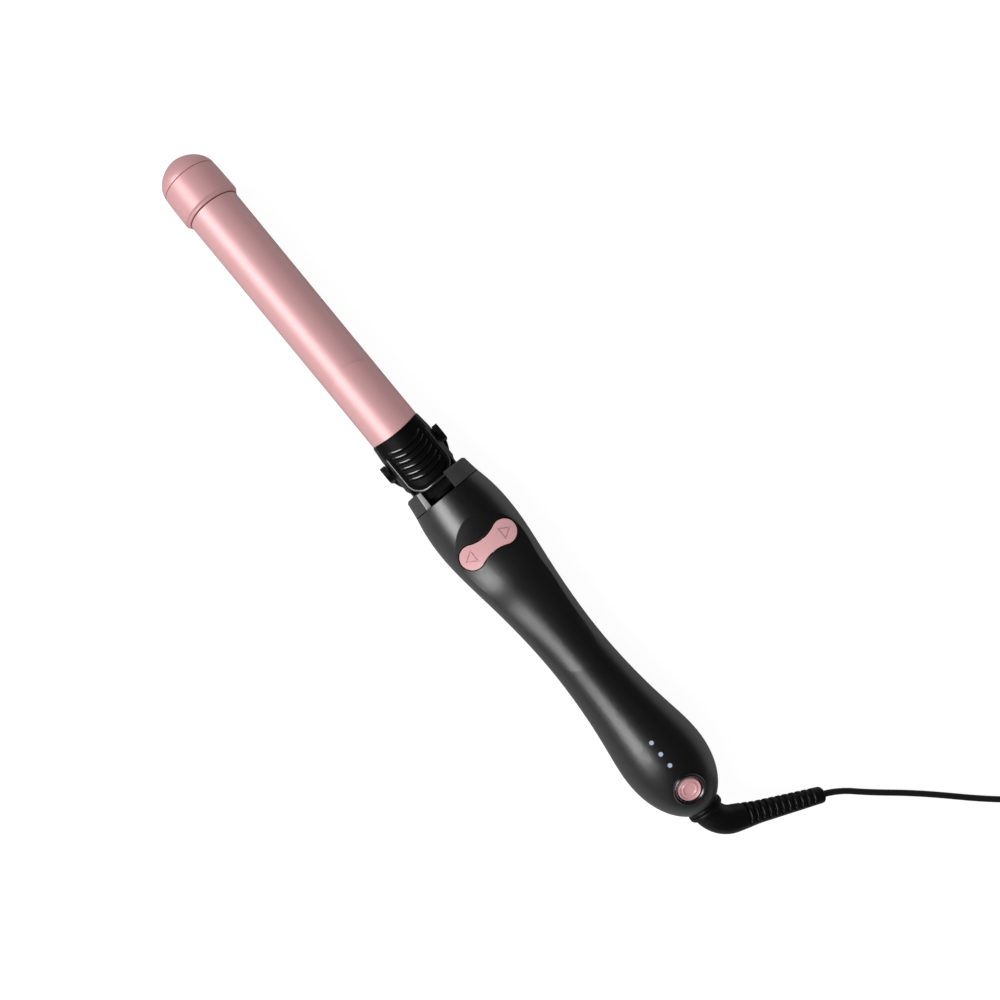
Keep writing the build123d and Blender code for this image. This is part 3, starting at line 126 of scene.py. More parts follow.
EDGE_DROP, EDGE_WIDTH = 0.35, 0.45
FRONT_DROP, FRONT_DROP_X = 0.75, (LEVER_FRONT_X + 0.8, -22.0)
LIP_DROP, LIP_SHARE = 0.3, 0.02

# Raised lines of the lever: radius and how far the middle is sunk; the first six, then the rim's
BEAD_R, BEAD_SUNK, BEAD_AHEAD, BEAD_SHORT = 0.62, 0.42, 0.62, 0.5
RIM_BEAD_R, RIM_SUNK, RIM_IN, RIM_FROM_X = 0.72, 0.40, 0.5, -22.5
BEAD_TAPER = 8                     # points over which a raised line grows from nothing

# Lugs of the lever, about its pin
PIN_X, PIN_Z = -15.0, 7.0
LUG_R, LUG_TOP, LUG_Y = 3.1, 4.9, (5.7, 7.7)
LUG_EDGE, LUG_EDGE_SHARE = 0.15, 0.94

# Front collar: its notch with a strip of painted highlight, and the joint line's ends in degrees from the
# top
NOTCH_X, NOTCH_R = (-1.5, 7.25), (16.95, 18.0)
NOTCH_FOOT = (8.9, 11.0)
STRIP_ENDS, STRIP_BELOW = (0.5, 0.1), 0.15
STRIP_LIFT, STRIP_THICK = 0.05, 0.04
SEAM_ENDS, SEAM_R, SEAM_POINTS = (16.5, 319.0), 0.2, 240

# Power button and its ring: heights along the button's own axis, and radii
POWER_AT = (177.0, 0.0, AXIS_Z + 18.429)
POWER_TILT = np.radians(17.0)
BUTTON_R, BUTTON_DISH = 5.55, -0.75
BUTTON_BELLS = ((3.3, 0.45, 0.7), (5.0, 0.42, 0.95))      # radius, width and rise of each ring
BUTTON_DROP, BUTTON_DROP_WIDTH = 0.35, 0.3
BUTTON_SKIRT, STEM_R, STEM_END = (-1.5, -2.4), 2.0, -6.2
SNAP_RING, SNAP_R = (-5.6, -6.0), 2.6
BEZEL_R, BEZEL_BORE, BEZEL_BORE_TOP = 7.7, 6.3, -1.2
BEZEL_UNDER, BEZEL_SKIRT_R, BEZEL_ROUND = -2.1, 6.9, 0.4
BEZEL_RIM = [(-0.3, 0.0), (0.5, -0.5), (0.25, -1.1)]      # height, and radius from the ring's own
BEZEL_LIP = [(-0.3, 0.4), (-0.8, 0.4)]                    # height, and radius from the button's
BEZEL_WEB, WEB_BORE = (-4.7, -5.5), 2.3

# Springs: radius of the coil's middle line, wire, turns and free length; share left at the limit
DECK_Z = AXIS_Z + 3.4
CLAMP_SPRING = dict(radius=2.6, wire=0.7, turns=5, length=9.6)
CLAMP_SPRING_X, CLAMP_SPRING_KEEP = -6.0, 0.65
POWER_SPRING = dict(radius=3.8, wire=0.5, turns=2, length=2.2)
POINTS_PER_TURN = 28

# Cord elbow: its two rings, the bend, and the sleeve with its slots
RINGS_X, RINGS_ROUND = 192.3, 0.8
RINGS = [(0.0, 4.0), (0.0, 8.3), (1.5, 8.3), (1.5, 7.4), (1.6, 7.4), (1.6, 8.7), (3.7, 8.7), (3.7, 4.0)]
ELBOW_X, ELBOW_BACK = RINGS_X + 4.8, -3.0
ELBOW_STRAIGHT, ELBOW_BEND_R = -1.76, 14.0
ELBOW_BEND, ELBOW_TILT = np.radians(61.0), np.radians(16.5)
ELBOW_R, ELBOW_AROUND = 7.2, 96
SLEEVE, SLEEVE_FIRST, SLEEVE_STEP, SLEEVE_FROM = 48.1, 0.25, 0.2, 8.0
SLEEVE_SHRINK, SLEEVE_END, SLEEVE_END_IN = 1.5, 1.4, 1.2
NECK_SHRINKS = ((1.0, -16.0, 6.0), (0.9, 0.0, 14.0))      # by how much, and from where to where
RIBS, RIB_START, RIB_PITCH = 11, 5.2, 3.5
SLOT_DEPTH, SLOT_OPENS, SLOT_SHUTS = 1.25, (0.0, 0.4), (1.5, 1.9)
SLOT_REACH = (-0.4, -0.1)


# Materials

def new_material(name):
    """A node material that holds only its shader and output; returns it, its tree and the shader."""
    material = bpy.data.materials.new(name)
    material.use_nodes = True
    tree = material.node_tree
    tree.nodes.clear()
    output = tree.nodes.new("ShaderNodeOutputMaterial")
    shader = tree.nodes.new("ShaderNodeBsdfPrincipled")
    tree.links.new(shader.outputs["BSDF"], output.inputs["Surface"])
    return material, tree, shader


def noise(tree, scale, detail, stretch):
    """Noise on Object coordinates, its scale along each axis times stretch."""
    place = tree.nodes.new("ShaderNodeTexCoord")
    mapping = tree.nodes.new("ShaderNodeMapping")
    mapping.inputs["Scale"].default_value = stretch
    texture = tree.nodes.new("ShaderNodeTexNoise")
    texture.inputs["Scale"].default_value = scale
    texture.inputs["Detail"].default_value = detail
    tree.links.new(place.outputs["Object"], mapping.inputs["Vector"])
    tree.links.new(mapping.outputs["Vector"], texture.inputs["Vector"])
    return texture.outputs["Fac"]


def spread(tree, value, low, high):
    """A value's middle range spread over low to high."""
    node = tree.nodes.new("ShaderNodeMapRange")
    node.inputs["From Min"].default_value, node.inputs["From Max"].default_value = NOISE_RANGE
    node.inputs["To Min"].default_value = low
    node.inputs["To Max"].default_value = high
    tree.links.new(value, node.inputs["Value"])
    return node.outputs["Result"]


def blend_colours(tree, factor, first, second):
    """Two colours mixed by a value."""
    node = tree.nodes.new("ShaderNodeMix")
    node.data_type = "RGBA"
    node.inputs["A"].default_value = (*first, 1.0)
    node.inputs["B"].default_value = (*second, 1.0)
    tree.links.new(factor, node.inputs["Factor"])
    return node.outputs["Result"]


def grained(name, colour, roughness, metallic=0.0, specular=0.5, grain=1800.0, relief=0.05,
            mottle=0.06, rough_spread=0.06, stretch=(1.0, 1.0, 1.0), coat=0.0, edge=0.0):
    """A finish with a fine grain in its relief and roughness, and slow changes of colour.

    Where edge is given, the shading rounds sharp edges by that many metres. A coat is as rough as
    the finish below it.
    """
    material, tree, shader = new_material(name)
    colour = np.array(colour)
    slow = noise(tree, SLOW_SCALE, 2.0, stretch)
    fine = noise(tree, grain, 4.0, stretch)
    tree.links.new(blend_colours(tree, slow, colour * (1 - mottle), np.minimum(colour * (1 + mottle), 1)),
                   shader.inputs["Base Color"])
    tree.links.new(spread(tree, fine, roughness - rough_spread, roughness + rough_spread),
                   shader.inputs["Roughness"])
    bump = tree.nodes.new("ShaderNodeBump")
    bump.inputs["Strength"].default_value = relief
    bump.inputs["Distance"].default_value = RELIEF_DEPTH
    tree.links.new(fine, bump.inputs["Height"])
    tree.links.new(bump.outputs["Normal"], shader.inputs["Normal"])
    if edge:
        soft = tree.nodes.new("ShaderNodeBevel")
        soft.inputs["Radius"].default_value = edge
        tree.links.new(soft.outputs["Normal"], bump.inputs["Normal"])
    shader.inputs["Metallic"].default_value = metallic
    shader.inputs["Specular IOR Level"].default_value = specular
    shader.inputs["Coat Weight"].default_value = coat
    shader.inputs["Coat Roughness"].default_value = roughness
    shader.inputs["Coat IOR"].default_value = COAT_IOR
    return material


def rose_coat(name, colour, edge=0.0):
    """The metallic coat of the barrel and the clamp plate."""
    return grained(name, colour, 0.44, metallic=0.27, grain=2400.0, relief=0.06, mottle=0.03, coat=1.0,
                   edge=edge)


def bright_steel(name):
    """Drawn steel wire and pins."""
    return grained(name, (0.55, 0.55, 0.56), 0.3, metallic=1.0, grain=2500.0)


def dress(material, *nodes):
    """Gives CAD nodes a finish."""
    for node in nodes:
        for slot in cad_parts[node].material_slots:
            slot.material = material


# Meshes

def grid_mesh(name, points, material, wrap_rows=False, wrap_columns=False, close_ends=False):
    """A smooth mesh over a grid of points in millimetres, rows by columns by three.

    Neighbouring points join in four-sided faces. Wrapping joins the last row or column to the first,
    and closing the ends fills the first and last row of a wrapped tube with a fan to its middle.
    Points in the same place become one, as at a pole or a pinched edge, and a wrapped mesh faces
    outward.
    """
    points = np.asarray(points, dtype=float)
    rows, columns = points.shape[:2]
    index = np.arange(rows * columns).reshape(rows, columns)
    if wrap_rows:
        index = np.vstack([index, index[:1]])
    if wrap_columns:
        index = np.hstack([index, index[:, :1]])
    quads = np.stack([index[:-1, :-1], index[:-1, 1:], index[1:, 1:], index[1:, :-1]], axis=-1)
    faces = quads.reshape(-1, 4).tolist()
    flat = points.reshape(-1, 3)
    if close_ends:
        middles = np.array([points[0].mean(axis=0), points[-1].mean(axis=0)])
        flat = np.vstack([flat, middles])
        first, last = rows * columns, rows * columns + 1
        faces += [(first, b, a) for a, b in zip(index[0, :-1].tolist(), index[0, 1:].tolist())]
        faces += [(last, a, b) for a, b in zip(index[-1, :-1].tolist(), index[-1, 1:].tolist())]
    mesh = bpy.data.meshes.new(name)
    mesh.from_pydata((flat * MM).tolist(), [], faces)
    shape = bmesh.new()
    shape.from_mesh(mesh)
    bmesh.ops.remove_doubles(shape, verts=shape.verts, dist=SAME_POINT)
    if wrap_columns:
        bmesh.ops.recalc_face_normals(shape, faces=shape.faces)
    shape.to_mesh(mesh)
    shape.free()
    mesh.materials.append(material)
    mesh.polygons.foreach_set("use_smooth", np.ones(len(mesh.polygons), dtype=bool))
    mesh.update()
    piece = bpy.data.objects.new(name, mesh)
    bpy.context.scene.collection.objects.link(piece)
    return piece


def step_up(value, low, high):
    """0 below low, 1 above high, and 3t^2 - 2t^3 between, where t is the share of the way."""
    t = np.clip((value - low) / (high - low), 0, 1)
    return t * t * (3 - 2 * t)


def bump_at(value, width):
    """A bell of height 1 round zero, exp(-(value / width)^2)."""
    return np.exp(-(value / width) ** 2)


def rounded(points, radius, steps=5):
    """An outline of (x, r) whose inner corners are rounded, as a quadratic curve at each."""
    points = [np.asarray(p, dtype=float) for p in points]
    share = np.linspace(0, 1, steps + 1)[:, None]
    out = [points[0][None]]
    for before, here, after in zip(points, points[1:], points[2:]):
        back, ahead = before - here, after - here
        reach = min(radius, np.linalg.norm(back) * 0.45, np.linalg.norm(ahead) * 0.45)
        start = here + back / np.linalg.norm(back) * reach
        end = here + ahead / np.linalg.norm(ahead) * reach
        out.append((1 - share) ** 2 * start + 2 * share * (1 - share) * here + share ** 2 * end)
    out.append(points[-1][None])
    return np.vstack(out)


def square_to(way):
    """A direction at length 1, and two directions square to it and to each other."""
    way = np.asarray(way, dtype=float) / np.linalg.norm(way)
    first = np.cross((0.0, 1.0, 0.0), way)
    first /= np.linalg.norm(first)
    return way, first, np.cross(way, first)


def turned(name, outline, material, around=160, origin=(0.0, 0.0, AXIS_Z), way=(1.0, 0.0, 0.0),
           closed=False):
    """A turned piece: each point (s, r) of the outline goes round the line through origin along way.

    Point = origin + s * way + r * (cos(angle) * first + sin(angle) * second), for two directions
    square to way. A closed outline joins its last point to its first.
    """
    outline = np.asarray(outline, dtype=float)
    way, first, second = square_to(way)
    angle = np.linspace(0, 2 * np.pi, around, endpoint=False)
    circle = np.cos(angle)[:, None] * first + np.sin(angle)[:, None] * second
    points = np.asarray(origin) + outline[:, None, :1] * way + outline[:, None, 1:] * circle[None]
    return grid_mesh(name, points[:, ::-1], material, wrap_rows=closed, wrap_columns=True)


def swept(name, path, radius, material, around=48):
    """A tube round a path: a circle of the given radii in the plane square to the path at each point.

    The circle's two directions are carried along the path with the least turn. The radii are one to
    a point of the path, or one row of them round each point.
    """
    path = np.asarray(path, dtype=float)
    way = np.gradient(path, axis=0)
    way /= np.linalg.norm(way, axis=1)[:, None]
    side = np.zeros_like(path)
    side[0] = np.cross(way[0], (0.0, 0.0, 1.0))
    for i in range(1, len(path)):
        side[i] = side[i - 1] - way[i] * side[i - 1].dot(way[i])
    side /= np.linalg.norm(side, axis=1)[:, None]
    top = np.cross(side, way)
    angle = np.linspace(0, 2 * np.pi, around, endpoint=False)
    circle = (np.cos(angle)[None, :, None] * side[:, None] + np.sin(angle)[None, :, None] * top[:, None])
    points = path[:, None] + np.reshape(radius, (len(path), -1, 1)) * circle
    return grid_mesh(name, points[:, ::-1], material, wrap_columns=True, close_ends=True)


def wound(name, origin, way, radius, wire, turns, length, material):
    """A spring: origin + (wire + rise * t) * way + radius * (cos(a) * first + sin(a) * second).

    t goes from 0 to 1 and a = 2 pi * turns * t. The rise leaves a wire's thickness free at both ends.
    """
    way, first, second = square_to(way)
    t = np.linspace(0, 1, POINTS_PER_TURN * turns + 1)[:, None]
    angle = 2 * np.pi * turns * t
    path = np.asarray(origin) + (wire + (length - 2 * wire) * t) * way
    path = path + radius * (np.cos(angle) * first + np.sin(angle) * second)
    return swept(name, path, np.full(len(path), wire / 2), material, around=10)


# Sizes and colours a user would change

class IronColours(bpy.types.PropertyGroup):
    rose: bpy.props.FloatVectorProperty(
        name="Rose", description="Metallic coat of the barrel and its tip", subtype="COLOR", size=3,
        default=(0.69, 0.36, 0.37), min=0.0, max=1.0)
    button: bpy.props.FloatVectorProperty(
        name="Buttons", description="Rocker and power button", subtype="COLOR", size=3,
        default=(0.70, 0.37, 0.39), min=0.0, max=1.0)
    handle: bpy.props.FloatVectorProperty(
        name="Handle", description="Satin plastic of the handle", subtype="COLOR", size=3,
        default=(0.0012, 0.0012, 0.0013), min=0.0, max=1.0)
    trim: bpy.props.FloatVectorProperty(
        name="Trim", description="Grey plastic of the collar", subtype="COLOR", size=3,
        default=(0.042, 0.042, 0.043), min=0.0, max=1.0)


class IronStage(bpy.types.PropertyGroup):
    lamp_power: bpy.props.FloatProperty(
        name="Main lamp", description="Power of the long soft lamp", default=5.5, min=0.0, unit="POWER")
    ambient: bpy.props.FloatProperty(
        name="Ambient", description="Brightness of the surroundings for matt surfaces", default=0.60,
        min=0.0, max=2.0)
    dark_side: bpy.props.FloatProperty(
        name="Dark side", description="Brightness that gloss shows overhead and on the far side",
        default=0.012, min=0.0, max=1.0)
    near_side: bpy.props.FloatProperty(
        name="Near side", description="Brightness that gloss shows low down on the lamp's side",
        default=0.17, min=0.0, max=2.0)
    floor_size: bpy.props.FloatProperty(
        name="Floor", description="Side of the floor", default=6.0, min=1.0, unit="LENGTH")


class IronCord(bpy.types.PropertyGroup):
    diameter: bpy.props.FloatProperty(
        name="Diameter", description="Thickness of the mains cord", default=CORD_D * MM, min=0.001,
        unit="LENGTH")


def add_camera(scene):
    """The camera, which looks straight down, its picture turned about its own line of sight."""
    data = bpy.data.cameras.new("camera")
    data.lens, data.sensor_width = CAMERA_LENS, CAMERA_SENSOR
    data.shift_x, data.shift_y = CAMERA_SHIFT
    data.clip_start, data.clip_end = CAMERA_REACH
    camera = bpy.data.objects.new("camera", data)
    camera.matrix_world = Matrix.Translation(CAMERA_AT) @ Matrix.Rotation(CAMERA_TURN, 4, "Z")
    scene.collection.objects.link(camera)
    scene.camera = camera


def area_lamp(name, power, location, size):
    """A rectangular soft lamp that faces the long axis squarely, its long side along X."""
    data = bpy.data.lights.new(name, "AREA")
    data.shape = "RECTANGLE"
    data.size, data.size_y = size
    data.energy = power
    lamp = bpy.data.objects.new(name, data)
    back = np.array(location) - np.array((location[0], 0.0, AXIS_Z * MM))
    back /= np.linalg.norm(back)
    side = np.array((1.0, 0.0, 0.0))
    up = np.cross(back, side)
    turn = Matrix(np.array([side, up, back]).T.tolist()).to_4x4()
    lamp.matrix_world = Matrix.Translation(location) @ turn
    bpy.context.scene.collection.objects.link(lamp)


def surroundings(stage):
    """The world: white for the camera, plain for matt surfaces, and darker in glossy and clear ones.

    Gloss sees the near side's light on the lamp's side, and dark overhead and on the far side.
    """
    world = bpy.data.worlds.new("surroundings")
    world.use_nodes = True
    tree = world.node_tree
    rays = tree.nodes.new("ShaderNodeLightPath")
    mirrored = tree.nodes.new("ShaderNodeMath")
    mirrored.operation = "MAXIMUM"
    tree.links.new(rays.outputs["Is Glossy Ray"], mirrored.inputs[0])
    tree.links.new(rays.outputs["Is Transmission Ray"], mirrored.inputs[1])
    place = tree.nodes.new("ShaderNodeTexCoord")
    split = tree.nodes.new("ShaderNodeSeparateXYZ")
    tree.links.new(place.outputs["Generated"], split.inputs[0])
    near_side = tree.nodes.new("ShaderNodeMapRange")
    near_side.interpolation_type = "SMOOTHSTEP"
    near_side.inputs["From Min"].default_value = NEAR_SIDE_FROM
    near_side.inputs["From Max"].default_value = NEAR_SIDE_FULL
    near_side.inputs["To Min"].default_value = stage.dark_side
    near_side.inputs["To Max"].default_value = stage.near_side
    tree.links.new(split.outputs["Y"], near_side.inputs["Value"])
    level = tree.nodes.new("ShaderNodeMix")
    level.inputs["A"].default_value = stage.ambient
    tree.links.new(mirrored.outputs[0], level.inputs["Factor"])
    tree.links.new(near_side.outputs["Result"], level.inputs["B"])
    white = tree.nodes.new("ShaderNodeMix")
    white.inputs["B"].default_value = 1.0
    tree.links.new(rays.outputs["Is Camera Ray"], white.inputs["Factor"])
    tree.links.new(level.outputs["Result"], white.inputs["A"])
    back = tree.nodes["Background"]
    back.inputs["Color"].default_value = (1.0, 1.0, 1.0, 1.0)
    tree.links.new(white.outputs["Result"], back.inputs["Strength"])
    return world


def matt_grey(tree, level):
    """A diffuse shader of one grey."""
    shader = tree.nodes.new("ShaderNodeBsdfDiffuse")
    shader.inputs["Color"].default_value = (level, level, level, 1.0)
    return shader.outputs[0]


def chosen(tree, factor, first, second):
    """The first shader where the factor is 0, and the second where it is 1."""
    node = tree.nodes.new("ShaderNodeMixShader")
    tree.links.new(factor, node.inputs["Fac"])
    tree.links.new(first, node.inputs[1])
    tree.links.new(second, node.inputs[2])
    return node.outputs[0]


def floor_finish():
    """White with a faint shadow for the camera, light grey to matt surfaces, darker in glossy ones."""
    material = bpy.data.materials.new("floor_white")
    material.use_nodes = True
    tree = material.node_tree
    tree.nodes.clear()
    glow = tree.nodes.new("ShaderNodeEmission")
    glow.inputs["Strength"].default_value = FLOOR_GLOW
    seen = tree.nodes.new("ShaderNodeAddShader")
    tree.links.new(matt_grey(tree, FLOOR_LIT), seen.inputs[0])
    tree.links.new(glow.outputs[0], seen.inputs[1])
    rays = tree.nodes.new("ShaderNodeLightPath").outputs
    unseen = chosen(tree, rays["Is Glossy Ray"], matt_grey(tree, FLOOR_PLAIN),
                    matt_grey(tree, FLOOR_IN_GLOSS))
    output = tree.nodes.new("ShaderNodeOutputMaterial")
    tree.links.new(chosen(tree, rays["Is Camera Ray"], unseen, seen.outputs[0]), output.inputs["Surface"])
    return material


class IRON_OT_stage(bpy.types.Operator):
    """Camera straight above, white floor, surroundings that look white and a long soft lamp"""
    bl_idname = "iron.stage"
    bl_label = "Stage"

    def execute(self, context):
        scene = context.scene
        stage = scene.iron_stage
        add_camera(scene)
        scene.view_settings.view_transform = "Standard"
        area_lamp("main_lamp", stage.lamp_power, LAMP_AT, LAMP_SIZE)
        scene.world = surroundings(stage)
        half = stage.floor_size / 2 / MM
        corners = np.array([[(-half, -half, -FLOOR_DROP), (half, -half, -FLOOR_DROP)],
                            [(-half, half, -FLOOR_DROP), (half, half, -FLOOR_DROP)]])
        grid_mesh("floor", corners, floor_finish())
        return {"FINISHED"}


def coil_points():
    """The coil's control points, a flat spiral that goes in, out, in and out, a layer higher each time.

    At u half turns the radius is the inner one plus half the pitch times the distance of u from the
    nearest innermost place, a triangle wave. The height climbs a pitch over the half turn after
    each climb's start. A control polygon of equal sides draws a curve that lies inside it by
    (3 + cos of its turn) / 4, so the radius is divided by that.
    """
    u = np.arange(0, HALF_TURNS + 0.01, 1 / POINTS_PER_HALF_TURN)
    half_way = IN_AND_OUT / 2
    from_inner = np.abs((u - INNERMOST + half_way) % IN_AND_OUT - half_way)
    radius = COIL_INNER_R + COIL_PITCH / 2 * from_inner
    radius /= (3 + np.cos(np.pi / POINTS_PER_HALF_TURN)) / 4
    height = COIL_PITCH * sum(np.clip(u - start, 0, 1) for start in LAYER_CLIMBS)
    middle = COIL_START + COIL_MIDDLE_R * COIL_ASIDE
    spin = np.sin(np.pi * u)[:, None] * COIL_AHEAD - np.cos(np.pi * u)[:, None] * COIL_ASIDE
    return middle + radius[:, None] * spin + height[:, None] * np.array((0.0, 0.0, 1.0))


class IRON_OT_cord(bpy.types.Operator):
    """Mains cord as one spline: loose run, put-away coil and tail, with its plug"""
    bl_idname = "iron.cord"
    bl_label = "Cord and plug"

    def execute(self, context):
        size = context.scene.iron_cord
        sheath = grained("cord_sheath", (0.010, 0.010, 0.010), 0.42, specular=0.4, grain=2600.0)
        plug_rubber = grained("plug_plastic", (0.012, 0.012, 0.012), 0.45, specular=0.4, grain=2200.0)
        points = np.vstack([RUN, coil_points(), TAIL]) * MM
        curve = bpy.data.curves.new("mains_cord", "CURVE")
        curve.dimensions = "3D"
        spline = curve.splines.new("NURBS")
        spline.points.add(len(points) - 1)
        spline.points.foreach_set("co", np.hstack([points, np.ones((len(points), 1))]).ravel())
        spline.order_u = 3
        spline.use_endpoint_u = True
        spline.resolution_u = 6
        curve.bevel_depth = size.diameter / 2
        curve.bevel_resolution = 4
        curve.use_fill_caps = True
        curve.materials.append(sheath)
        cord = bpy.data.objects.new("mains_cord", curve)
        context.scene.collection.objects.link(cord)
        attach(cord, "cord")
        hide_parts("cord_run", "cord_coil", "cord_tail")
        dress(plug_rubber, "plug_body")
        dress(grained("blade_metal", (0.72, 0.60, 0.38), 0.28, metallic=1.0, grain=3000.0), "plug_blades")
        return {"FINISHED"}


def dome_outline():
    """The tip's dome as (x, r), with its edge rounded into the seam.

    x = seam - depth * cos(a)^1.05 and r = R * sin(a)^1.25, nearly a quarter of an oval.
    """
    angle = np.linspace(0, np.pi / 2, 48)
    dome = np.column_stack([TIP_SEAM_X - DOME_DEPTH * np.cos(angle) ** DOME_POWERS[0],
                            DOME_R * np.sin(angle) ** DOME_POWERS[1]])
    foot_x = TIP_SEAM_X + DOME_FOOT
    edge = rounded([dome[-1], (foot_x, DOME_R), (foot_x, DOME_R - DOME_LIP)], DOME_EDGE)
    return np.vstack([dome[:-1], edge, [(foot_x, 0.0)]])


def band_outline():
    """The tip's ring as (x, r): it widens a little to the rear, where a bevel leads to the barrel."""
    front = np.add((TIP_SEAM_X, DOME_R), BAND_FRONT)
    bevel = np.add((BAND_END_X, BARREL_R), BAND_BEVEL)
    return rounded(np.vstack([front, bevel]), BAND_ROUND, 8)


def barrel_outline():
    """The barrel's coat as (x, r): a thin wall, a little wider from the tip to the end of the band."""
    wide, bore = BARREL_R + BARREL_SPREAD, BARREL_R - BARREL_WALL
    return rounded([(BARREL_START_X, wide), (BAND_END_X, wide), (SPREAD_END_X, BARREL_R),
                    (BARREL_END_X, BARREL_R), (BARREL_END_X, bore), (BARREL_START_X, bore)],
                   BARREL_ROUND, 3)


class IRON_OT_barrel(bpy.types.Operator):
    """Heated barrel with its tip, and the clamp plate's finish"""
    bl_idname = "iron.barrel"
    bl_label = "Barrel"

    def execute(self, context):
        rose = tuple(context.scene.iron_colours.rose)
        tip = grained("rose_tip", tuple(TIP_SHADE * np.array(rose)), 0.44, metallic=0.25, grain=2000.0,
                      relief=0.05, mottle=0.03, coat=0.6)
        # Painted shade: the dark brownish finish of the ring where the band meets the barrel
        joint = grained("tip_joint_shade", (0.09, 0.03, 0.02), 0.7, specular=0.0, grain=2000.0)
        dress(rose_coat("plate_coat", rose), "clamp_plate")
        cap = turned("tip_dome", dome_outline(), tip)
        ring = turned("tip_band", band_outline(), tip, closed=True)
        barrel = turned("barrel_coat", barrel_outline(), rose_coat("rose_coat", rose, edge=0.0003),
                        around=192, closed=True)
        # The thin dark ring of painted shade behind the band
        (start, end), out = JOINT_SHADE_X, BARREL_R + BARREL_SPREAD + JOINT_SHADE_OUT
        joint_shade_ring = turned("tip_joint_shade", [(start, BARREL_R), (start, out), (end, out), (end, BARREL_R)], joint,
                        closed=True)
        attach(joint_shade_ring, "barrel")
        for piece, node, slot in ((cap, "tip_cap", "tip_plastic"), (ring, "tip_collar", "tip_plastic"),
                                  (barrel, "barrel_tube", "barrel_coat")):
            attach(piece, "barrel")
            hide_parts(node)
        return {"FINISHED"}


def lever_shape():
    """The clamp lever as a closed sheet, rows along the iron and columns over and back under.

    In plan it is w(x) wide on each side, a plain width with a round corner at each side of the tail,
    and its front edge is hollow. Its top lies on the circle z^2 + y^2 = (R + h)^2, where R rises
    from the thin front edge. h adds a rim beside the outline, and takes away a fine groove inside
    the rim, the curved grooves x = g - bow * (y / half)^2, and a drop at the very edge. The underside
    lies on a plain circle of smaller radius, and both ends are pinched to the middle of the wall.
    """
    rows, columns = LEVER_GRID
    share = np.linspace(0, 1, rows)[:, None]
    across = np.linspace(-1, 1, columns)[None]
    across = SIDE_CROWD * np.sin(across * np.pi / 2) + (1 - SIDE_CROWD) * across
    x = LEVER_FRONT_X + (LEVER_TAIL_X - LEVER_FRONT_X) * (1 - (1 - share) ** TAIL_CROWD)
    corner_x = LEVER_TAIL_X - LEVER_CORNER
    into = np.clip((x - corner_x) / LEVER_CORNER, 0, 1)
    width = LEVER_HALF - LEVER_CORNER + LEVER_CORNER * np.sqrt(1 - into ** 2)
    y = across * width
    x = x + LEVER_BOW * (1 - (y / (LEVER_HALF + 1)) ** 2) * (1 - step_up(share, 0, LEVER_BOW_SHARE))

    past_x, past_y = x - corner_x, np.abs(y) - (LEVER_HALF - LEVER_CORNER)
    out = np.where(past_x > 0, np.hypot(past_x, np.maximum(past_y, 0)), np.maximum(past_y, past_x))
    inside = LEVER_CORNER - out
    behind = step_up(x, *RELIEF_X)
    relief = RIM_RISE * step_up(inside, 0.0, RIM_START) * (1 - step_up(inside, *RIM_FALL))
    relief -= FINE_DEPTH * bump_at(inside - FINE_IN, FINE_WIDTH)
    for groove in GROOVES:
        off = x - groove + GROOVE_BOW * (y / GROOVE_HALF) ** 2
        here = 1 - step_up(np.abs(y), GROOVE_HALF - GROOVE_FADE, GROOVE_HALF)
        relief -= here * GROOVE_DEPTH * bump_at(off, GROOVE_WIDTH)
    lift = relief * behind - EDGE_DROP * (1 - step_up(inside, 0.0, EDGE_WIDTH))

    radius = LEVER_R - FRONT_DROP * (1 - step_up(x, *FRONT_DROP_X))
    radius -= LIP_DROP * (1 - step_up(share, 0.0, LIP_SHARE))
    top = np.sqrt((radius + lift) ** 2 - y ** 2)
    under = np.sqrt(np.minimum(LEVER_R - LEVER_WALL, radius - LEVER_THIN_WALL) ** 2 - y ** 2)
    over, back, ends = (np.stack([x, y, AXIS_Z + z], axis=-1) for z in (top, under, (top + under) / 2))
    sheet = np.concatenate([over, back[:, ::-1]], axis=1)
    pinched = np.concatenate([ends, ends[:, ::-1]], axis=1)
    return np.concatenate([pinched[:1], sheet, pinched[-1:]])


def lever_beads():
    """Paths of the raised lines on the lever: one ahead of each groove, and one round the rim.

    A groove's line is x = g - bow * (y / half)^2 - ahead. The rim's runs down one side, round the two
    corners of the tail and up the other, a little inside the outline. Both lie a little below the
    circle z^2 + y^2 = R^2, so only their tops show.
    """
    y = np.linspace(-GROOVE_HALF + BEAD_SHORT, GROOVE_HALF - BEAD_SHORT, 70)
    lines = []
    for groove in GROOVES:
        x = groove - GROOVE_BOW * (y / GROOVE_HALF) ** 2 - BEAD_AHEAD
        lines.append(np.column_stack([x, y, AXIS_Z + np.sqrt((LEVER_R - BEAD_SUNK) ** 2 - y ** 2)]))
    turn = np.linspace(0, np.pi / 2, 20)
    corner_x, corner_y = LEVER_TAIL_X - LEVER_CORNER, LEVER_HALF - LEVER_CORNER
    bend = np.column_stack([corner_x + (LEVER_CORNER - RIM_IN) * np.sin(turn),
                            corner_y + (LEVER_CORNER - RIM_IN) * np.cos(turn)])
    along = np.linspace(RIM_FROM_X, corner_x, 40)[:-1]
    side = np.column_stack([along, np.full(len(along), LEVER_HALF - RIM_IN)])
    half = np.vstack([side, bend])
    back = np.linspace(corner_y, -corner_y, 11)[1:-1]
    tail = np.column_stack([np.full(len(back), bend[-1, 0]), back])
    rim = np.vstack([half, tail, half[::-1] * (1, -1)])
    lines.append(np.column_stack([rim, AXIS_Z + np.sqrt((LEVER_R - RIM_SUNK) ** 2 - rim[:, 1] ** 2)]))
    return lines


def bead_radii(full, count):
    """A raised line's radius at each point: full, and falling to a point at both ends as an oval."""
    from_end = np.minimum(np.arange(count), np.arange(count)[::-1])
    grown = np.clip((from_end + 1) / BEAD_TAPER, 0, 1)
    return full * np.sqrt(1 - (1 - grown) ** 2)


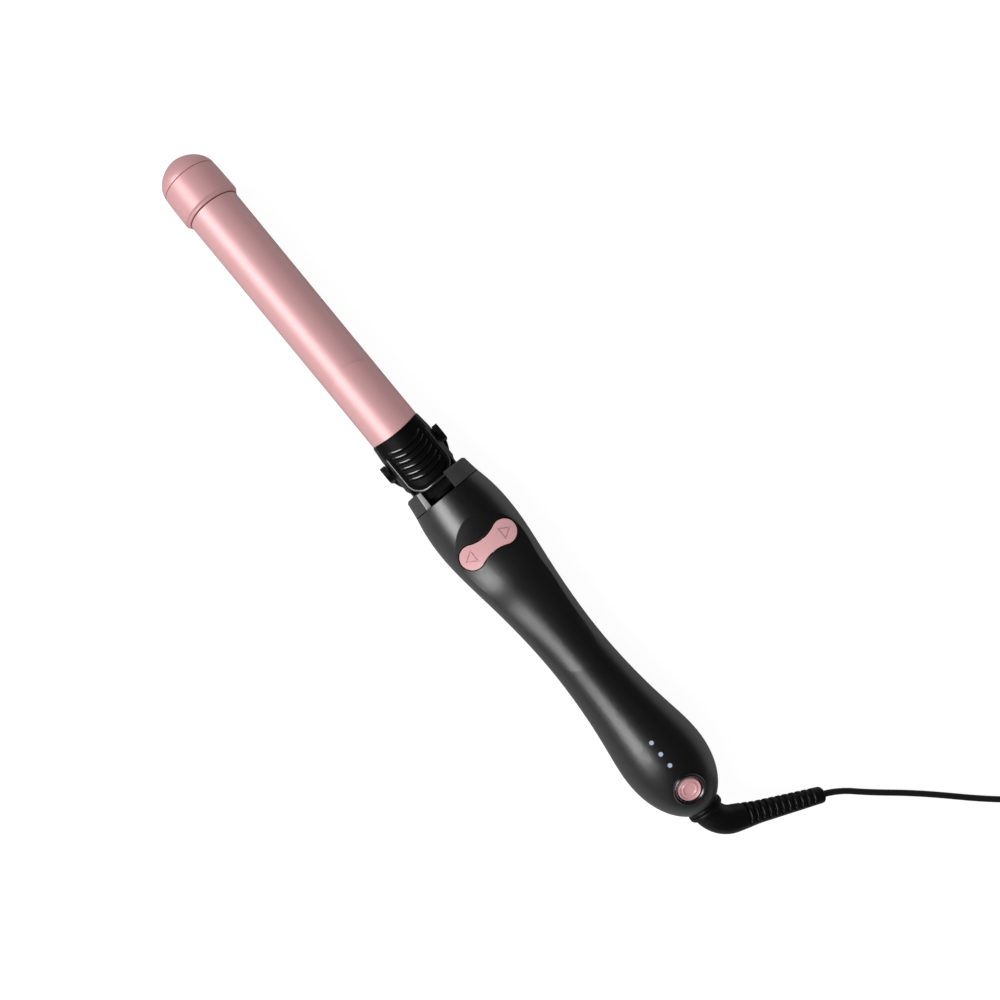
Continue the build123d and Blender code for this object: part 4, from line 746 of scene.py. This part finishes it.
def lug_shape(side):
    """A lever's lug: a plate with a round foot about the pin, between the two distances of LUG_Y.

    Its outline goes round the foot from one side to the other and straight up into the lever, and
    is a little smaller at both faces.
    """
    angle = np.linspace(0, -np.pi, 25)
    foot = np.column_stack([np.cos(angle), np.sin(angle)]) * LUG_R
    outline = np.vstack([foot, [(-LUG_R, LUG_TOP), (LUG_R, LUG_TOP)]])
    inner, outer = LUG_Y
    rows = []
    for y, share in ((inner, LUG_EDGE_SHARE), (inner + LUG_EDGE, 1.0), (outer - LUG_EDGE, 1.0),
                     (outer, LUG_EDGE_SHARE)):
        loop = outline * share + (PIN_X, PIN_Z + AXIS_Z)
        rows.append(np.column_stack([loop[:, 0], np.full(len(loop), side * y), loop[:, 1]]))
    return np.array(rows)[:, ::-side]


class IRON_OT_clamp(bpy.types.Operator):
    """Clamp lever, rotating base, stand, their pins and the clamp's spring"""
    bl_idname = "iron.clamp"
    bl_label = "Lever, base and stand"

    def execute(self, context):
        satin = grained("lever_black", (0.002, 0.002, 0.002), 0.5, specular=0.12, grain=1500.0,
                        relief=0.02)
        gloss = grained("lever_gloss", (0.002, 0.002, 0.002), 0.16, specular=1.0, grain=1500.0,
                        relief=0.02, rough_spread=0.02, coat=1.0)
        rim = grained("lever_rim", (0.02, 0.02, 0.02), 0.26, specular=1.0, grain=1500.0, relief=0.02,
                      rough_spread=0.02, coat=1.0)
        black = grained("base_black", (0.002, 0.002, 0.002), 0.34, specular=0.6, grain=1500.0,
                        edge=0.0003)
        steel = bright_steel("pin_steel")
        dark = grained("stand_pin_dark", (0.05, 0.05, 0.05), 0.35, metallic=1.0, grain=2500.0)
        dress(black, "base_housing", "stand")
        dress(steel, "clamp_pin", "clamp_rivets")
        dress(dark, "stand_pins")
        lever = grid_mesh("lever_top", lever_shape(), satin, wrap_columns=True)
        pieces = [lever] + [grid_mesh(f"lever_lug_{end}", lug_shape(side), black, wrap_columns=True,
                                      close_ends=True) for end, side in (("left", -1), ("right", 1))]
        for number, path in enumerate(lever_beads()):
            full, finish = (BEAD_R, gloss) if number < len(GROOVES) else (RIM_BEAD_R, rim)
            pieces.append(swept(f"lever_bead_{number}", path, bead_radii(full, len(path)), finish,
                                around=16))
        for piece in pieces:
            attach(piece, "clamp")
        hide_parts("clamp_lever")
        foot = (CLAMP_SPRING_X, 0.0, DECK_Z)
        spring = wound("clamp_coil", foot, (0.0, 0.0, 1.0), material=steel, **CLAMP_SPRING)
        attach(spring, "barrel")
        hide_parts("clamp_spring")
        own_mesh(spring)
        return {"FINISHED"}


def painted_highlight_strip():
    """A thin light-grey strip, a painted highlight, on the slanted side of the collar's notch, from its
    foot up to the collar's edge.

    At each place along the iron its top is where y = -a - t, z = b + t meets the collar's radius r:
    t = (sqrt(2 r^2 - (a - b)^2) - a - b) / 2.
    """
    start, end = NOTCH_X
    x = np.linspace(start + STRIP_ENDS[0], end - STRIP_ENDS[1], 12)[:, None, None]
    r = NOTCH_R[0] + (NOTCH_R[1] - NOTCH_R[0]) * (x - start) / (end - start)
    a, b = NOTCH_FOOT
    reach = (np.sqrt(2 * (r - STRIP_BELOW) ** 2 - (a - b) ** 2) - a - b) / 2
    t = np.linspace(0.0, 1.0, 8)[None, :, None] * reach
    lift = np.array([STRIP_LIFT, STRIP_LIFT - STRIP_THICK])[:, None, None, None] / np.sqrt(2)
    sheets = np.concatenate([x + 0 * t + 0 * lift, -a - t + lift + 0 * x, AXIS_Z + b + t + lift + 0 * x],
                            axis=-1)
    middle = sheets.mean(axis=0)[[0, -1]]
    pinched = np.concatenate([middle, middle[:, ::-1]], axis=1)
    sheet = np.concatenate([sheets[0], sheets[1][:, ::-1]], axis=1)
    return np.concatenate([pinched[:1], sheet, pinched[-1:]])


def joint_path():
    """The line between the collar and the shells: an arc round the axis, open where the notch is."""
    turn = np.radians(np.linspace(*SEAM_ENDS, SEAM_POINTS))
    return np.column_stack([np.full(SEAM_POINTS, NOTCH_X[1]), NOTCH_R[1] * np.sin(turn),
                            AXIS_Z + NOTCH_R[1] * np.cos(turn)])


def button_outline():
    """The power button as (height, r): its face, its skirt, and the stem with a snap ring.

    The face is a dish with two rings on it, each a bell round its own radius.
    """
    r = np.linspace(0.0, BUTTON_R, 60)
    height = np.full(len(r), BUTTON_DISH)
    for middle, width, rise in BUTTON_BELLS:
        height += rise * bump_at(r - middle, width)
    height -= BUTTON_DROP * step_up(r, BUTTON_R - BUTTON_DROP_WIDTH, BUTTON_R)
    skirt, under = BUTTON_SKIRT
    snap, snap_end = SNAP_RING
    below = [(skirt, BUTTON_R), (under, BUTTON_R), (under, STEM_R), (snap, STEM_R), (snap, SNAP_R),
             (snap_end, SNAP_R), (STEM_END, STEM_R), (STEM_END, 0.0)]
    return np.vstack([np.column_stack([height, r]), below])


def bezel_outline():
    """The button's ring as (height, r): a crowned rim, a lip beside the button, and a bore.

    The bore ends in a web with a hole for the button's stem.
    """
    web, web_under = BEZEL_WEB
    return rounded([(BEZEL_UNDER, BEZEL_R), *np.add((0.0, BEZEL_R), BEZEL_RIM),
                    *np.add((0.0, BUTTON_R), BEZEL_LIP), (BEZEL_BORE_TOP, BEZEL_BORE), (web, BEZEL_BORE),
                    (web, WEB_BORE), (web_under, WEB_BORE), (web_under, BEZEL_SKIRT_R),
                    (BEZEL_UNDER, BEZEL_SKIRT_R)], BEZEL_ROUND, 6)


class IRON_OT_handle(bpy.types.Operator):
    """Handle shells, collar, lights, and buttons with the power button's spring"""
    bl_idname = "iron.handle"
    bl_label = "Handle"

    def execute(self, context):
        colours = context.scene.iron_colours
        satin = grained("handle_satin", tuple(colours.handle), 0.34, specular=1.0, grain=1400.0,
                        relief=0.02, coat=0.85, edge=0.0005)
        trim = grained("collar_grey", tuple(colours.trim), 0.34, specular=0.4, grain=1400.0,
                       edge=0.0003)
        # Painted highlight: a light-grey finish for the strip in the collar's notch, standing in for the
        # lamp's highlight there
        highlight_paint = grained("notch_painted_highlight", (0.75, 0.75, 0.76), 0.4, specular=0.5, grain=1400.0)
        pink = grained("button_pink", tuple(colours.button), 0.30, specular=0.8, grain=1800.0,
                       coat=0.4, edge=0.0004)
        dark = grained("bezel_dark", (0.004, 0.004, 0.004), 0.25, specular=1.0, grain=1500.0,
                       coat=1.0)
        light = grained("light_pipe", (0.40, 0.48, 0.60), 0.25, specular=0.5, grain=1500.0)
        dress(satin, "upper_shell", "lower_shell")
        dress(trim, "front_collar")
        dress(pink, "rocker")
        dress(light, "light_pipes")
        # The strip of painted highlight on the notch's slanted side
        strip = grid_mesh("painted_highlight_strip", painted_highlight_strip(), highlight_paint, wrap_columns=True)
        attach(strip, "handle")
        seam = grained("joint_black", (0.001, 0.001, 0.001), 0.8, specular=0.0, grain=1400.0)
        joint = swept("collar_joint", joint_path(), np.full(SEAM_POINTS, SEAM_R), seam, around=8)
        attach(joint, "handle")
        way = (np.sin(POWER_TILT), 0.0, np.cos(POWER_TILT))
        button = turned("button_cap", button_outline(), pink, origin=POWER_AT, way=way)
        bezel = turned("button_ring", bezel_outline(), dark, origin=POWER_AT, way=way, closed=True)
        for piece, body, node, slot in ((button, "power_button", "power_button", "rocker_pink"),
                                        (bezel, "handle", "power_bezel", "bezel_dark")):
            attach(piece, body)
            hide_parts(node)
        steel = bright_steel("power_spring_steel")
        foot = np.array(POWER_AT) + BEZEL_WEB[0] * np.array(way)
        spring = wound("power_coil", foot, way, material=steel, **POWER_SPRING)
        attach(spring, "handle")
        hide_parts("power_spring")
        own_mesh(spring)
        return {"FINISHED"}


def elbow_shape():
    """The elbow and slotted sleeve as a path, with a row of radii round each of its points.

    The path is an arc in a plane tilted down to one side, and a straight sleeve. The radius shrinks
    smoothly from the elbow to the first slots, and evenly along the sleeve. A slot takes a notch out
    of it wherever -cos(angle round the sleeve) is above its reach. The last points round the end off.
    """
    angle = np.linspace(0, ELBOW_BEND, 28)
    along = np.arange(SLEEVE_FIRST, SLEEVE, SLEEVE_STEP)
    ahead = ELBOW_STRAIGHT + ELBOW_BEND_R * np.sin(angle)
    aside = ELBOW_BEND_R * (1 - np.cos(angle))
    ahead = np.concatenate([[ELBOW_BACK, 0.0], ahead, ahead[-1] + along * np.cos(ELBOW_BEND)])
    aside = np.concatenate([[0.0, 0.0], aside, aside[-1] + along * np.sin(ELBOW_BEND)])
    path = np.column_stack([ELBOW_X + ahead, aside * np.cos(ELBOW_TILT),
                            AXIS_Z - aside * np.sin(ELBOW_TILT)])
    run = np.concatenate([[0.0], np.cumsum(np.linalg.norm(np.diff(path, axis=0), axis=1))])
    s = run - run[-len(along)] + along[0]
    radius = ELBOW_R - SLEEVE_SHRINK * np.clip((s - SLEEVE_FROM) / (SLEEVE - SLEEVE_FROM), 0, 1)
    for shrink, start, end in NECK_SHRINKS:
        radius -= shrink * step_up(s, start, end)
    left = np.clip((SLEEVE - s) / SLEEVE_END, 0, 1)
    radius -= SLEEVE_END_IN * (1 - np.sqrt(1 - (1 - left) ** 2))
    phase = (s - RIB_START) % RIB_PITCH
    slot = step_up(phase, *SLOT_OPENS) * (1 - step_up(phase, *SLOT_SHUTS))
    slot = slot * (s > RIB_START) * (s < RIB_START + RIBS * RIB_PITCH)
    facing = -np.cos(np.linspace(0, 2 * np.pi, ELBOW_AROUND, endpoint=False))
    return path, radius[:, None] - SLOT_DEPTH * slot[:, None] * step_up(facing, *SLOT_REACH)[None]


class IRON_OT_elbow(bpy.types.Operator):
    """Swivel elbow with its ribbed sleeve"""
    bl_idname = "iron.elbow"
    bl_label = "Cord elbow"

    def execute(self, context):
        rubber = grained("elbow_rubber", (0.003, 0.003, 0.003), 0.4, specular=0.5, grain=1800.0)
        path, radius = elbow_shape()
        elbow = swept("elbow_sleeve", path, radius, rubber, around=ELBOW_AROUND)
        beads = turned("elbow_beads", rounded(RINGS, RINGS_ROUND, 8), rubber, origin=(RINGS_X, 0.0, AXIS_Z),
                       closed=True)
        for piece in (elbow, beads):
            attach(piece, "cord")
        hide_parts("cord_elbow")
        return {"FINISHED"}


class IRON_OT_inside(bpy.types.Operator):
    """Finishes for the pieces that the shells and the barrel hide"""
    bl_idname = "iron.inside"
    bl_label = "Inner pieces"

    def execute(self, context):
        steel = grained("inner_steel", (0.50, 0.50, 0.51), 0.32, metallic=1.0, grain=2500.0,
                        stretch=(0.2, 1.0, 1.0))
        dress(steel, "spindle_clip", "pinion_shaft", "gearbox", "motor", "rocker_pin",
              "board_screws", "shell_screws")
        # Partly painted shade: dark steel, made nearly black and dull so that what shows through the
        # collar's notch stands in for the shade in the notch
        dress(grained("dark_steel", (0.004, 0.004, 0.004), 0.6, specular=0.1, grain=2500.0), "spindle",
              "spindle_screws", "front_bearing")
        dress(grained("aluminium_cast", (0.62, 0.62, 0.63), 0.45, metallic=1.0, grain=900.0),
              "heater_shoes")
        dress(grained("ceramic_white", (0.72, 0.70, 0.64), 0.5, grain=1200.0), "heater_plate",
              "thermal_fuse", "thermistor")
        dress(grained("mica_board", (0.36, 0.26, 0.15), 0.6, grain=500.0, mottle=0.25),
              "barrel_insulator")
        dress(grained("lead_sleeve", (0.68, 0.68, 0.66), 0.6, grain=1200.0), "heater_leads",
              "wire_harness")
        dress(grained("nylon_white", (0.74, 0.74, 0.70), 0.45, grain=1000.0), "drive_gear", "slip_hub",
              "swivel_bush", "contact_holder")
        dress(grained("ring_copper", (0.72, 0.38, 0.22), 0.25, metallic=1.0, grain=2500.0),
              "slip_rings", "rear_bush")
        dress(grained("brush_carbon", (0.03, 0.03, 0.03), 0.6, grain=3000.0), "brushes",
              "controller_chip")
        dress(grained("frame_plastic", (0.02, 0.02, 0.02), 0.5, grain=1200.0), "gear_frame",
              "brush_holder", "rocker_switches", "power_switch", "swivel_core")
        dress(grained("board_green", (0.02, 0.13, 0.06), 0.4, grain=400.0, mottle=0.3),
              "switch_board", "main_board")
        dress(grained("relay_blue", (0.02, 0.06, 0.28), 0.35, grain=1000.0), "relay", "capacitor")
        dress(grained("led_clear", (0.85, 0.90, 1.0), 0.2, grain=1000.0), "indicator_leds")
        return {"FINISHED"}


class IRON_PT_panel(bpy.types.Panel):
    """The pieces of the curling iron, one button each"""
    bl_label = "Curling iron"
    bl_idname = "IRON_PT_panel"
    bl_space_type = "VIEW_3D"
    bl_region_type = "UI"
    bl_category = "Curling iron"

    def draw(self, context):
        for group in ("iron_colours", "iron_stage", "iron_cord"):
            settings = getattr(context.scene, group)
            for name in settings.__annotations__:
                self.layout.prop(settings, name)
        for operator in OPERATORS:
            self.layout.operator(operator.bl_idname)


GROUPS = {"iron_colours": IronColours, "iron_stage": IronStage, "iron_cord": IronCord}
OPERATORS = (IRON_OT_stage, IRON_OT_cord, IRON_OT_barrel, IRON_OT_clamp, IRON_OT_handle,
             IRON_OT_elbow, IRON_OT_inside)


def register():
    for name, group in GROUPS.items():
        bpy.utils.register_class(group)
        setattr(bpy.types.Scene, name, bpy.props.PointerProperty(type=group))
    for shown in (*OPERATORS, IRON_PT_panel):
        bpy.utils.register_class(shown)


def unregister():
    for shown in (IRON_PT_panel, *reversed(OPERATORS)):
        bpy.utils.unregister_class(shown)
    for name, group in GROUPS.items():
        delattr(bpy.types.Scene, name)
        bpy.utils.unregister_class(group)


def main():
    register()
    bpy.ops.iron.stage()
    bpy.ops.iron.cord()
    bpy.ops.iron.barrel()
    bpy.ops.iron.clamp()
    bpy.ops.iron.handle()
    bpy.ops.iron.elbow()
    bpy.ops.iron.inside()


if __name__ == "__main__":
    main()
